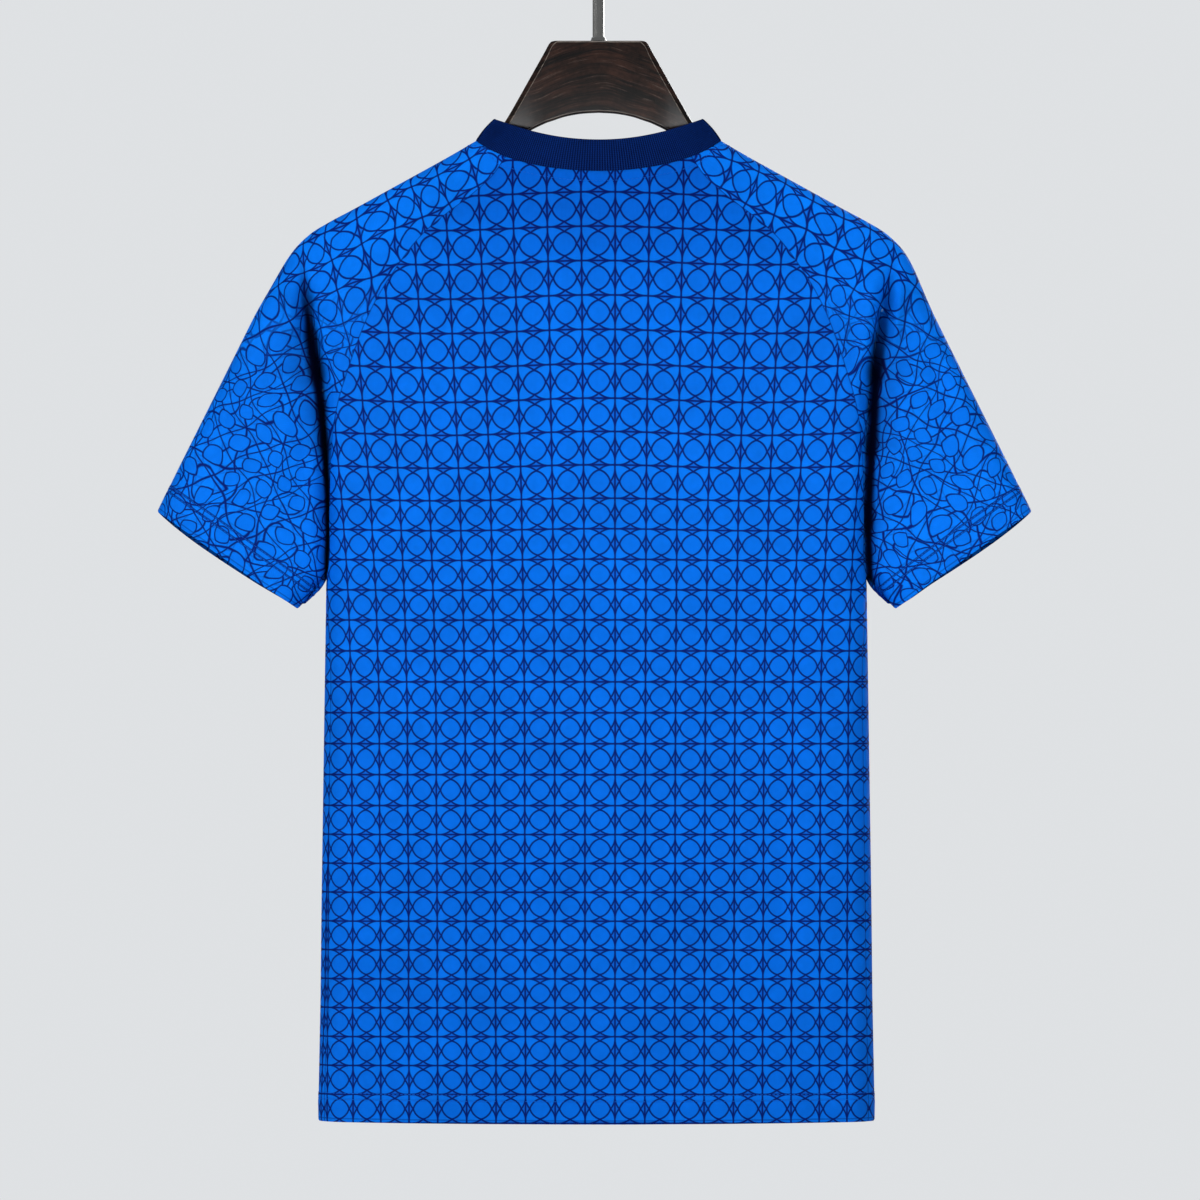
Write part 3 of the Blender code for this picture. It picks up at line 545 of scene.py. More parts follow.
def painted_fold_shade(x, drop):
    """How strongly shade is painted on a point in the fold between sleeve and body.

    A flat-topped bell of painted shade across the fold, with a softer, half as dark painted shade
    beside it on the sleeve.
    """
    right = x > 0.0
    centre, width = (np.where(right, np.interp(drop, FOLD_SHADE_PAINT[:, 0], FOLD_SHADE_PAINT[:, k + 2]),
                              np.interp(drop, FOLD_SHADE_PAINT[:, 0], FOLD_SHADE_PAINT[:, k])) for k in (1, 2))
    width = width * (1.0 + 0.16 * np.sin(drop / 9.0) + 0.12 * np.sin(drop / 4.3 + 1.0))
    out = np.abs(x) - side_x(drop) - centre
    core = np.exp(-(out / width) ** 4)
    beside = width * (FLANK_WIDTH - step((drop - FLANK_NARROWS[0]) / FLANK_NARROWS[1]))
    flank = FLANK * np.exp(-(np.maximum(out, 0.0) / beside) ** 2) * (out > 0.0)
    grows = np.where(right, DARK_GROWS[1], DARK_GROWS[0])
    along = step((drop - DARK_TOP) / grows) * step((DARK_ENDS[0] - drop) / DARK_ENDS[1])
    return np.maximum(core, flank) * along


def main_folds(x, drop):
    """The CAD model's folds: each a bell across its line that fades at both ends."""
    total = np.zeros_like(x)
    for x0, drop0, x1, drop1, width, rise in MAIN_FOLDS:
        along = np.array([x1 - x0, drop1 - drop0])
        length = np.hypot(*along)
        t = ((x - x0) * along[0] + (drop - drop0) * along[1]) / length ** 2
        across = ((x - x0) * along[1] - (drop - drop0) * along[0]) / length
        fade = step(t / 0.3 + 0.5) * step((1.0 - t) / 0.3 + 0.5)
        total += rise * fade * np.exp(-(across / width) ** 2)
    return total


def creases(x, drop, face, scale):
    """Listed troughs and ridges: a bell across a bent path, uneven and faded at its ends."""
    total = np.zeros_like(x)
    t = np.linspace(0.0, 1.0, 15)[:, None]
    for number, (x0, d0, x1, d1, x2, d2, width, rise) in enumerate(CREASES[face]):
        bend = np.array([2 * x1 - 0.5 * (x0 + x2), 2 * d1 - 0.5 * (d0 + d2)])
        path = (1 - t) ** 2 * (x0, d0) + 2 * t * (1 - t) * bend + t ** 2 * (x2, d2)
        near = ((np.abs(x - 0.5 * (path[:, 0].min() + path[:, 0].max()))
                 < 0.5 * np.ptp(path[:, 0]) + 3 * width)
                & (np.abs(drop - 0.5 * (path[:, 1].min() + path[:, 1].max()))
                   < 0.5 * np.ptp(path[:, 1]) + 3 * width))
        away, share = nearest_on_path(x[near], drop[near], path)
        fade = step(share / 0.35) * step((1.0 - share) / 0.35)
        uneven = 1.0 + 0.35 * np.sin(9.0 * share + 1.7 * number)
        total[near] += rise * fade * uneven * np.exp(-(away / (width * (0.8 + 0.4 * share))) ** 2)
    return scale * total


def slack(x, drop, face):
    """Slow waves of slack cloth: a sum of sines in several directions."""
    total = np.zeros_like(x)
    turn = 0.0 if face == "back" else 2.4
    for across, down, phase, rise in SLACK:
        total += rise * np.sin(across * x + down * drop + phase + turn)
    return total


def half_depth(x, drop, face, scale):
    """How far the cloth stands out from the middle plane, in millimetres.

    Over the shoulders it is one cover with a turned edge along the outline.  Lower down it
    parts into the body and the sleeve, each with turned edges along the deep fold.  Folds,
    creases and slack are added, and die out on the turned edges.
    """
    wide = np.abs(x)
    depth = np.interp(drop, BODY_DEPTH[:, 0], BODY_DEPTH[:, 1])
    from_outline = nearest_on_path(wide, drop, OUTER_PATH)[0]
    edge = quarter_round(from_outline, SHOULDER_EDGE, SHOULDER_RISE)
    cover = edge + (depth - SHOULDER_RISE) * ease(from_outline / SPREAD)
    inside = side_x(drop) - wide
    steeper = step((ARMPIT_DROP - drop) / FOLD_STEEPER_OVER)
    fold_edge = BODY_EDGE - FOLD_STEEPER * steeper
    body = quarter_round(inside, fold_edge, BODY_RISE)
    body = body + (depth - BODY_RISE) * ease(inside / SPREAD)
    from_edges = np.minimum(from_outline, nearest_on_path(wide, drop, PIT_POINTS)[0])
    arm = quarter_round(from_edges, SLEEVE_EDGE, SLEEVE_RISE)
    arm = arm + (SLEEVE_DEPTH - SLEEVE_RISE) * ease(from_edges / (0.5 * SPREAD))
    parted = np.where(inside > 0.0, body, arm)
    floor = FOLD_FLOOR * step((FLOOR_ENDS - drop) / FLOOR_FADE)
    parted = np.hypot(parted, floor * np.clip(from_outline / SHOULDER_EDGE, 0.0, 1.0))
    share = step((drop - FOLD_TOP) / FOLD_FADE)
    plain = (1.0 - share) * cover + share * parted
    inward = np.clip(plain / SHOULDER_RISE, 0.0, 1.0) ** 2
    fine = np.clip(plain / CREASES_FULL, 0.0, 1.0) ** 2
    return (plain + main_folds(wide, drop) * inward
            + (creases(x, drop, face, scale) + slack(x, drop, face)) * fine)


def drop_of(points):
    """How far points lie below the top of the hanger's wood, in millimetres."""
    return (WOOD_TOP - points[..., 2]) / MM


def place(x, drop, face, out):
    """Points in metres: out the half depth, towards -Y on the back and +Y on the front."""
    side = 1.0 if face == "front" else -1.0
    return np.stack([x * MM, side * out * MM, WOOD_TOP - drop * MM], axis=-1)


def neck_seam(angle):
    """Point (x, drop) of the neck seam: angle 0 at the centre back, pi at the centre front."""
    x = NECK_HALF_WIDTH * np.sin(angle)
    wide, tall = NECK_OVAL
    back = NECK_DROP_BACK - tall * (1.0 - np.sqrt(1.0 - (x / wide) ** 2))
    level = NECK_DROP_BACK - tall * (1.0 - math.sqrt(1.0 - (NECK_HALF_WIDTH / wide) ** 2))
    front = level - (NECK_DROP_FRONT - level) * np.cos(angle)
    return x, np.where(np.cos(angle) >= 0.0, back, front)


def angle_at(x, face):
    """Angle on the neck seam where its half width is x."""
    angle = np.arcsin(x / NECK_HALF_WIDTH)
    return np.pi - angle if face == "front" else angle


def seam_table():
    """Sleeve sections with the neck's ends set on the neck seam."""
    table = SLEEVE_SECTIONS.copy()
    table[0, 3] = neck_seam(angle_at(table[0, 2], "back"))[1]
    table[0, 5] = neck_seam(angle_at(table[0, 4], "front"))[1]
    return table


def sway(points):
    """Sets the hung jersey a little to one side: the body, and more so the sleeves."""
    out = points.copy()
    drop = drop_of(points)
    across, down = SWING_ACROSS, SWING_ENDS
    reach = np.clip((np.abs(points[..., 0]) / MM - across[0]) / across[1], 0.0, 1.0)
    swing = SLEEVE_SWING * step((drop - SWAY_TOP) / SWING_GROWS) * reach
    sleeves = swing * (1.0 - step((drop - down[0]) / down[1]))
    body = BODY_SHIFT * step((drop - SWAY_TOP) / SWAY_GROWS)
    out[..., 0] -= np.maximum(sleeves, body) * MM
    return out


# ---- grids of the cloth ----------------------------------------------------------------------
def sleeve_rows():
    """Row numbers down a sleeve, closer together in the last section before the cuff."""
    upper = np.linspace(0.0, ARMPIT_SECTION, ARMPIT_SECTION * SLEEVE_STEPS + 1)
    cuff = np.linspace(ARMPIT_SECTION, ARMPIT_SECTION + 1, CUFF_STEPS + 1)
    return np.concatenate([upper, cuff[1:]])


def sleeve_half(rows, share, face, side, scale):
    """One face of a sleeve: each section runs straight from the seam to the outer edge."""
    column = 4 if face == "front" else 2
    x = rows[:, column:column + 1] * (1.0 - share) + rows[:, 0:1] * share
    drop = rows[:, column + 1:column + 2] * (1.0 - share) + rows[:, 1:2] * share
    seam_angle = angle_at(rows[0, column], face)
    x[0], drop[0] = neck_seam(seam_angle + (0.5 * np.pi - seam_angle) * share[0])
    out = half_depth(side * x, drop, face, scale)
    out[0] = np.maximum(out[0], NECK_SIDE_DEPTH)
    return place(side * x, drop, face, out)


def sleeve_grid(side, scale):
    """Rows from neck to cuff, columns from the back seam over the outer edge to the front.

    The front's cuff laps a little below the back's: by a half sine from the outer edge to the
    seam, growing down the last rows with the square of the way.
    """
    rows = curve_through(seam_table(), sleeve_rows())
    fold = rows[:, 6:7]
    first = fold * np.linspace(0.0, 1.0, SEAM_TO_FOLD + 1)[None, :-1]
    wave = 0.5 - 0.5 * np.cos(np.pi * np.linspace(0.0, 1.0, FOLD_TO_EDGE + 1))
    share = np.concatenate([first, fold + (1.0 - fold) * wave[None, :]], axis=1)
    back = sleeve_half(rows, share, "back", side, scale)
    front = sleeve_half(rows, share, "front", side, scale)
    way = np.linspace(0.0, 1.0, CUFF_STEPS + 1)[:, None] ** 2
    lap = CUFF_LAP * MM * np.sin(np.pi * share[-1:] ** 1.7) ** 0.6 * way
    front[-1 - CUFF_STEPS:] += unit(front[-1] - front[-2]) * lap[..., None]
    return np.concatenate([back, front[:, -2::-1]], axis=1), rows


def column_shares():
    """Shares of the half width, closer together at the seam."""
    return np.concatenate([np.linspace(0.0, 0.97, PANEL_COLUMNS - 4), LAST_SHARES])


def lower_drops():
    """Drops of the rows below the armpit, closer together in the hem."""
    plain = np.arange(ARMPIT_DROP + LOWER_STEP, HEM_DROP - HEM_ROWS[0] - 1.0, LOWER_STEP)
    return np.concatenate([plain, HEM_DROP - np.array(HEM_ROWS)])


def panel_half(face, side, scale):
    """Right or left half of a panel: rows from the neck seam to the hem, columns out to the seam.

    Above the armpit a row goes out to the raglan seam.  Below, it turns round the body's edge
    on a quarter ellipse, and on the front runs a little way onto the back.
    """
    steps = np.linspace(0.0, ARMPIT_SECTION, ARMPIT_SECTION * UPPER_STEPS + 1)
    rows = curve_through(seam_table(), steps)
    seam = rows[:, 4:6] if face == "front" else rows[:, 2:4]
    lower = lower_drops()
    share = column_shares()
    spread = share ** 0.75
    top_angle = angle_at(seam[0, 0], face)
    centre = np.pi if face == "front" else 0.0
    top_x, top_drop = neck_seam(centre + (top_angle - centre) * spread)
    level = (seam[:, 1:2] - seam[0, 1]) / (ARMPIT_DROP - seam[0, 1])
    near_neck = (1.0 - level) ** 3
    bend = np.clip((share - FLAT_SHARE) / (1.0 - FLAT_SHARE), 0.0, 1.0)
    turned = np.minimum(share / FLAT_SHARE, 1.0) * (seam[-1, 0] - BODY_EDGE)
    turned = (turned + BODY_EDGE * np.sin(0.5 * np.pi * bend)) / seam[-1, 0]
    spread = spread * (1.0 - level ** 2) + turned * level ** 2
    upper_x = seam[:, 0:1] * (near_neck * top_x / top_x[-1] + (1.0 - near_neck) * spread)
    upper_drop = seam[:, 1:2] + (top_drop - seam[0, 1]) * near_neck
    upper_out = half_depth(side * upper_x, upper_drop, face, scale)
    half = side_x(lower - HEM_SAG)[:, None]
    back_turn = BODY_EDGE - SIDE_SEAM_IN * step((lower - ARMPIT_DROP) / 90.0)[:, None]
    reach = np.arcsin(back_turn / BODY_EDGE)
    turn = bend * ((np.pi - reach) if face == "front" else reach)
    lower_x = (half - BODY_EDGE) * np.minimum(share / FLAT_SHARE, 1.0)
    lower_x = lower_x + BODY_EDGE * np.sin(turn)
    sign = np.where(turn > 0.5 * np.pi, -1.0, 1.0)
    sag = HEM_SAG * (1.0 - (lower_x / half) ** 2) * step((lower[:, None] - 700.0) / 100.0)
    lower_drop = np.broadcast_to(lower[:, None], lower_x.shape) + sag - HEM_SAG
    lower_out = half_depth(side * lower_x, lower_drop, face, scale)
    on_back = half_depth(side * lower_x, lower_drop, "back", scale)
    lower_out = np.where(sign < 0.0, -on_back, lower_out)
    return np.concatenate([place(side * upper_x, upper_drop, face, upper_out),
                           place(side * lower_x, lower_drop, face, lower_out)])


def panel_grid(face, scale):
    """A panel's rows from one seam across the centre to the other."""
    left = panel_half(face, -1.0, scale)
    right = panel_half(face, 1.0, scale)
    return np.concatenate([left[:, :0:-1], right], axis=1)


def grid_normals(grid, outside):
    """Unit normals of a grid by crossing its two directions, turned towards outside."""
    down = np.gradient(grid, axis=0)
    across = np.gradient(grid, axis=1)
    normal = unit(np.cross(across, down))
    facing = np.sign(np.sum(normal * outside))
    return normal * facing


def lengths_across(grid):
    """Length along each row from its first column."""
    return summed_across(np.linalg.norm(np.diff(grid, axis=1), axis=-1))


def summed_across(parts):
    """Running total of each row's stretches, starting from 0."""
    return np.concatenate([np.zeros((len(parts), 1)), np.cumsum(parts, axis=1)], axis=1)


def lengths_down(grid):
    """Length down each column from its first row."""
    parts = np.linalg.norm(np.diff(grid, axis=0), axis=-1)
    return np.concatenate([np.zeros((1, grid.shape[1])), np.cumsum(parts, axis=0)], axis=0)


def panel_print(grid):
    """Place on the print, in cells: the row from the drop, the column from the way across."""
    drop = drop_of(grid)
    flat = grid * FLATTENED
    extra = PRINT_DEPTH_SHARE * (lengths_across(grid) - lengths_across(flat)) / MM
    steps = np.abs(np.diff(grid[..., 0], axis=1)) / MM
    way = summed_across(steps) + extra
    middle = grid.shape[1] // 2
    centre, narrow = (np.interp(drop, PRINT_MIDDLE[:, 0], PRINT_MIDDLE[:, k]) for k in (1, 2))
    way = way - way[:, middle:middle + 1] + grid[:, middle:middle + 1, 0] / MM - centre
    pitch = np.interp(drop, PRINT_PITCH[:, 0], PRINT_PITCH[:, 1])
    across = (way + narrow * way ** 3 / (3.0 * PRINT_HALF_WIDTH ** 2)) / pitch
    rise, length = PRINT_WAVE
    fades = step((WAVE_FADES[0] - drop) / WAVE_FADES[1])
    wave = rise * np.cos(2.0 * np.pi * way / length) * fades
    down = np.interp(drop + wave, PRINT_ROWS[:, 0], PRINT_ROWS[:, 1])
    return np.stack([across + 0.5, -down], axis=-1)


def sleeve_print(grid, rows, side):
    """Places on the sleeve's two lattices, in cells, and how strongly the second one shows.

    The cloth is laid flat inwards from the outer edge, alike on both faces; the length that it
    takes in depth counts in full near that edge and by a quarter further in.  The first lattice
    is turned along the shoulder, stands closer towards the cuff, and is drawn out of square by
    slow waves that grow down the sleeve.  The second one lies across it at another angle, drawn
    less by the same waves.
    """
    middle = grid.shape[1] // 2
    flat = lengths_across(grid * FLATTENED) / MM
    from_edge = np.abs(flat - flat[:, middle:middle + 1])
    near = SLEEVE_FALLS[0] - 0.5 * (from_edge[:, 1:] + from_edge[:, :-1])
    counted = SLEEVE_SHARE + (1.0 - SLEEVE_SHARE) * step(near / SLEEVE_FALLS[1])
    deeper = counted * np.diff(lengths_across(grid) / MM - flat, axis=1)
    ahead = flat + summed_across(deeper)
    around = np.abs(ahead - ahead[:, middle:middle + 1])
    outward_dir = unit(rows[:, None, 0:2] - rows[:, None, 2:4])
    laid = rows[:, None, 0:2] - outward_dir * around[..., None] - SLEEVE_MIDDLE
    drop = drop_of(grid)
    grown = step((drop - WAVES_GROW[0]) / WAVES_GROW[1])
    waves = np.zeros((*laid.shape[:2], 2))
    for (along, round_, start), rise in SLEEVE_WAVES:
        phase = start + (0.0 if side < 0 else 1.3)
        wave = np.sin(along * laid[..., 0] + round_ * laid[..., 1] + phase)
        waves += np.array(rise) * wave[..., None]
    places = []
    for pitch, turn, closer, waving in (
            (SLEEVE_PITCH, SLEEVE_TURN, SLEEVE_CLOSER, FIRST_WAVING[0] + FIRST_WAVING[1] * grown),
            (OVERLAY_PITCH, OVERLAY_TURN, 0.0, SECOND_WAVING)):
        cos, sin = math.cos(turn), math.sin(turn)
        u = (laid[..., 0] * cos + laid[..., 1] * sin) / pitch
        v = (laid[..., 1] * cos - laid[..., 0] * sin) / pitch
        closer = 1.0 + closer * grown
        u, v = u * closer + waving * waves[..., 0], v * closer + waving * waves[..., 1]
        places.append(np.stack([side * u, -v], axis=-1))
    return places[0], places[1], step((drop - OVERLAY_SETS_IN[0]) / OVERLAY_SETS_IN[1])


def sunk_seam(grid, normal, distance, along, settings):
    """Draws the cloth in along a seam: a bell-shaped groove with small gathers beside it."""
    depth = settings.groove * np.exp(-(distance / GROOVE_WIDTH) ** 2)
    gathers = settings.pucker * np.sin(along / GATHER_LENGTH) * np.exp(-distance / GATHER_REACH)
    gathers *= np.clip(distance / GATHER_START, 0.0, 1.0)
    return grid - normal * (depth - gathers)[..., None]


def stitched_band(grid, normal, from_edge, stitches):
    """Turned hem or cuff: a little thicker up to its stitching, drawn in along each row."""
    first, second = stitches.first_row, stitches.second_row
    thick = BAND_RISE * (1.0 - step((from_edge - second) / BAND_END))
    rows = sum(np.exp(-((from_edge - row) / ROW_WIDTH) ** 2) for row in (first, second))
    edge = ROUND_DEPTH * (1.0 - step(from_edge / ROUND_REACH))
    return grid + normal * (thick - BAND_RISE * rows - edge)[..., None]


def join_normals(n_sleeve, n_back, n_front, column):
    """Gives both sides of each seam of a sleeve the same normals, so that their walls meet.

    Column is that of the panels' edge on this side.  At the armpit, where four edges meet, they
    point straight down.
    """
    top_rows = ARMPIT_SECTION * UPPER_STEPS
    seam_at = np.linspace(0.0, ARMPIT_SECTION, top_rows + 1)
    sleeve_at = sleeve_rows()
    upper = sleeve_at <= ARMPIT_SECTION
    for panel, edge in ((n_back, 0), (n_front, -1)):
        onto_sleeve = rows_between(panel[:top_rows + 1, column], seam_at, sleeve_at[upper])
        shared = unit(onto_sleeve + n_sleeve[upper, edge])
        n_sleeve[upper, edge] = shared
        panel[:top_rows + 1, column] = rows_between(shared, sleeve_at[upper], seam_at)
    under = unit(n_sleeve[~upper, 0] + n_sleeve[~upper, -1])
    n_sleeve[~upper, 0] = n_sleeve[~upper, -1] = under
    side = unit(n_back[top_rows + 1:, column] + n_front[top_rows + 1:, column])
    n_back[top_rows + 1:, column] = n_front[top_rows + 1:, column] = side
    down = np.array([0.0, 0.0, -1.0])
    armpit = np.flatnonzero(upper)[-1]
    n_back[top_rows, column] = n_front[top_rows, column] = down
    n_sleeve[armpit, 0] = n_sleeve[armpit, -1] = down


def sewn_cloth(grid, normal, settings, stitches):
    """Points drawn in at the seams, the neck and the turned edge, and distances on the cloth.

    The distances are those from the nearer seam, from the hem or cuff, and from the neck.
    """
    across = lengths_across(grid)
    from_neck = lengths_down(grid)
    from_seam = np.minimum(across, across[:, -1:] - across)
    from_edge = from_neck[-1:] - from_neck
    shaped = sunk_seam(grid, normal, from_seam, from_neck, settings)
    shaped = sunk_seam(shaped, normal, from_neck, across, settings)
    shaped = stitched_band(shaped, normal, from_edge, stitches)
    return sway(shaped), from_seam, from_edge, from_neck


def sleeve_painted_light(from_seam, tangle):
    """Painted light on a sleeve: lighter away from its seams, less so where the second lattice
    shows.
    """
    low, reach = SLEEVE_PAINTED_LIGHT
    return (low + (1.0 - low) * step(from_seam / reach)) * (1.0 - NET_LOSS * tangle)


def panel_painted_light_and_shade(drop, from_neck):
    """Painted light in a bell about a panel's middle height, and painted shade under the collar.
    """
    most, middle, half = PANEL_PAINTED_LIGHT
    loss, start, reach = COLLAR_PAINTED_SHADE
    return (most * np.exp(-((drop - middle) / half) ** 2)
            - loss * (1.0 - step((from_neck - start) / reach)))


def cloth_grids(settings, stitches):
    """The four cloth pieces by name, with seams that meet.

    Each has its outer points, its normals, its places on the two lattices of the print, and
    the values of its points that the materials read.
    """
    scale = settings.crease_scale
    panels = {"back_panel": panel_grid("back", scale), "front_panel": panel_grid("front", scale)}
    n_back = grid_normals(panels["back_panel"], np.array([0.0, -1.0, 0.0]))
    n_front = grid_normals(panels["front_panel"], np.array([0.0, 1.0, 0.0]))
    pieces = {}
    for name, side, column in (("left_sleeve", -1.0, 0), ("right_sleeve", 1.0, -1)):
        grid, rows = sleeve_grid(side, scale)
        normal = grid_normals(grid, np.array([side, 0.0, 0.3]))
        normal[0] = normal[1]
        join_normals(normal, n_back, n_front, column)
        outer, from_seam, from_edge, _ = sewn_cloth(grid, normal, settings, stitches)
        first, second, tangle = sleeve_print(grid, rows, side)
        # painted shade in the deep fold between sleeve and body
        values = {"fold_painted_shade": painted_fold_shade(grid[..., 0] / MM, drop_of(grid)), "tangle": tangle,
                  "from_edge": from_edge, "from_seam": from_seam,
                  # painted light that lifts the sleeve's tone
                  "lift": sleeve_painted_light(from_seam, tangle)}
        pieces[name] = (outer, normal, {"print": first, "overlay": second}, values)
    for name, normal in (("back_panel", n_back), ("front_panel", n_front)):
        grid = panels[name]
        outer, from_seam, from_edge, from_neck = sewn_cloth(grid, normal, settings, stitches)
        lattice = panel_print(sway(grid))
        none = np.zeros(grid.shape[:2])
        # painted light about the panel's middle height and painted shade under the collar
        values = {"fold_painted_shade": none, "tangle": none, "from_edge": from_edge,
                  "from_seam": from_seam, "lift": panel_painted_light_and_shade(drop_of(grid), from_neck)}
        pieces[name] = (outer, normal, {"print": lattice, "overlay": lattice}, values)
    return pieces


def rows_between(values, at, wanted):
    """Values along a seam, read at other places on it by straight lines between them."""
    return np.stack([np.interp(wanted, at, values[:, k]) for k in range(values.shape[1])], axis=-1)


def collar_grids(settings):
    """Outer and inner points of the collar, and their places among its ribs.

    Angle 0 is the centre back.  A line across the band goes from its free edge to the neck
    seam and swells out between them as a half sine; the ribs are a cosine round the neck, and
    the free edge is rounded by drawing the wall together on a circle.
    """
    columns = COLUMNS_A_RIB * settings.ribs
    angle = 2.0 * np.pi * np.arange(columns) / columns
    seam_x, seam_drop = neck_seam(angle)
    face_back = np.cos(angle) >= 0.0
    out = np.where(face_back, half_depth(seam_x, seam_drop, "back", 0.0),
                   half_depth(seam_x, seam_drop, "front", 0.0))
    out = np.maximum(out, NECK_SIDE_DEPTH)
    seam = np.stack([seam_x * MM, np.where(face_back, -1.0, 1.0) * out * MM,
                     WOOD_TOP - seam_drop * MM], axis=-1)
    x = COLLAR_HALF_WIDTH * np.sin(angle)
    back = COLLAR_DROP_BACK - (COLLAR_DROP_BACK - COLLAR_DROP_SHOULDER) * np.sin(angle) ** 2
    front = COLLAR_DROP_SHOULDER - (COLLAR_DROP_FRONT - COLLAR_DROP_SHOULDER) * np.cos(angle)
    drop = np.where(face_back, back, front)
    lean = COLLAR_LEAN * MM * np.cos(angle)
    top = np.stack([x * MM, seam[:, 1] + lean, WOOD_TOP - drop * MM], axis=-1)
    share = np.array(BAND_SHARES)[:, None, None]
    grid = top * (1.0 - share) + seam * share
    along = np.roll(grid, -1, axis=1) - np.roll(grid, 1, axis=1)
    down = (seam - top)[None]
    normal = unit(np.cross(along, down))
    normal *= np.sign(np.sum(normal * (grid - grid.mean(axis=(0, 1))), axis=-1, keepdims=True))
    rib = np.cos(angle * settings.ribs)[None, :, None]
    swell = settings.bulge * np.sin(np.pi * share)
    edge = np.sqrt(1.0 - (1.0 - np.clip(share / BAND_EDGE, 0.0, 1.0)) ** 2)
    half = 0.5 * settings.wall
    fades = 0.25 + 0.75 * np.sin(np.pi * np.clip(share, 0.04, 0.98)) ** 0.4
    relief = 0.5 * settings.relief * rib * fades
    middle = grid + normal * (swell - half)
    outer = middle + normal * (half * edge + relief * edge)
    inner = middle - normal * (half * edge - relief * edge)
    wide = np.concatenate([angle, [2.0 * np.pi]])
    u = np.broadcast_to(wide * settings.ribs / (2.0 * np.pi), (len(share), columns + 1))
    v = np.broadcast_to(share[:, 0] * LOOPS_ACROSS_BAND, (len(share), columns + 1))
    return sway(outer), sway(inner), np.stack([u, v], axis=-1)


# ---- the hanger's bar ------------------------------------------------------------------------
def bar_places():
    """Places along half of the bar, close together where it shows and at its round tip."""
    tip = BAR_TIP - TIP_ROUND * (1.0 - np.sin(np.radians(np.linspace(0.0, 88.0, 9))))
    return np.concatenate([np.arange(0.0, ARM_STARTS), np.arange(ARM_STARTS, tip[0], 3.0), tip])


def bar_outline(x):
    """Drops of the bar's top and underside, and how far a section has shrunk at the tip.

    Near the hook they follow the table's curve; the arm keeps a clearance under the shoulder
    line, square to it, and its tip is drawn together on a circle.
    """
    rows = curve_through(BAR_SECTIONS, np.linspace(0.0, len(BAR_SECTIONS) - 1, 121))
    slope = np.gradient(np.interp(x, OUTER_PATH[:, 0], OUTER_PATH[:, 1]), x)
    shrink = np.sqrt(1.0 - np.clip((x - BAR_TIP + TIP_ROUND) / TIP_ROUND, 0.0, 1.0) ** 2)
    arm = np.interp(x, OUTER_PATH[:, 0], OUTER_PATH[:, 1]) + BAR_CLEARANCE * np.hypot(1.0, slope)
    arm_top = arm + 0.5 * ARM_HEIGHT * (1.0 - shrink)
    on_arm = np.clip((x - rows[-1, 0]) / (ARM_STARTS - rows[-1, 0]), 0.0, 1.0)
    top = np.interp(x, rows[:, 0], rows[:, 1]) * (1.0 - on_arm) + arm_top * on_arm
    under = np.interp(x, rows[:, 0], rows[:, 2]) * (1.0 - on_arm)
    return top, under + (arm_top + ARM_HEIGHT * shrink) * on_arm, shrink


def bar_grid(edge_round):
    """Sections of the bar from one tip to the other, and each point's share of pale edge wear
    with painted highlight.

    A section is a rectangle with its four corners cut; each of the eight corners is eased on
    a quadratic curve, and the ones on the two faces get the most of that pale wear and painted
    highlight, most in their middle.
    """
    x = bar_places()
    top, under, shrink = bar_outline(x)
    tall = under - top
    cuts = [np.interp(x, BAR_CUTS[:, 0], BAR_CUTS[:, k]) for k in range(1, 6)]
    high, low = (np.minimum(cuts[k], 0.42 * tall) for k in (0, 2))
    half = BAR_HALF_THICKNESS * np.sqrt(shrink)
    lower_half = half - cuts[4]
    high_in, low_in = half - cuts[1] * np.sqrt(shrink), lower_half - cuts[3] * np.sqrt(shrink)
    corners = np.stack([np.stack(pair, axis=-1) for pair in (
        (-high_in, top), (high_in, top), (half, top + high), (lower_half, under - low),
        (low_in, under), (-low_in, under), (-lower_half, under - low), (-half, top + high))],
        axis=1)
    before = np.roll(corners, 1, axis=1) - corners
    after = np.roll(corners, -1, axis=1) - corners
    reach = np.minimum(np.linalg.norm(before, axis=-1), np.linalg.norm(after, axis=-1))
    on_arm = step((x - 55.0) / 35.0)
    reach = np.minimum(0.45 * reach, (edge_round / MM + 2.4 * on_arm)[:, None])[..., None, None]
    t = np.linspace(0.0, 1.0, 5)[:, None]
    eased = (corners[:, :, None] + unit(before)[:, :, None] * reach * (1.0 - t) ** 2
             + unit(after)[:, :, None] * reach * t ** 2).reshape(len(x), -1, 2)
    # pale wear on the edges, which also paints the highlight that they catch: most where the top
    # cut meets the faces, none underneath
    rubbed = np.array((0.6, 0.6, 1.0, 0.7, 0.0, 0.0, 0.7, 1.0))[None, :, None]
    wear_and_edge_highlight = rubbed * 4.0 * t[:, 0] * (1.0 - t[:, 0]) * (1.0 - 0.8 * on_arm[:, None, None])
    wear_and_edge_highlight = wear_and_edge_highlight.reshape(len(x), -1)
    right = np.stack([np.broadcast_to(x[:, None], eased.shape[:2]) * MM, eased[..., 0] * MM,
                      WOOD_TOP - eased[..., 1] * MM], axis=-1)
    left = right[:0:-1] * np.array([-1.0, 1.0, 1.0])
    return np.concatenate([left, right]), np.concatenate([wear_and_edge_highlight[:0:-1], wear_and_edge_highlight])


def bar_faces(count, around):
    """Triangles between neighbouring sections, and a fan from a last point at each end."""
    index = np.arange(count * around).reshape(count, around)
    index = np.concatenate([index, index[:, :1]], axis=1)
    a, b, c, d = (part.ravel() for part in (
        index[:-1, :-1], index[1:, :-1], index[1:, 1:], index[:-1, 1:]))
    ends = [np.stack([index[row, first], index[row, last], 0 * index[row, :-1] + point], axis=-1)
            for row, first, last, point in (
                (0, slice(None, -1), slice(1, None), count * around),
                (-1, slice(1, None), slice(None, -1), count * around + 1))]
    return np.concatenate([np.stack([a, b, c], axis=-1), np.stack([a, c, d], axis=-1), *ends])


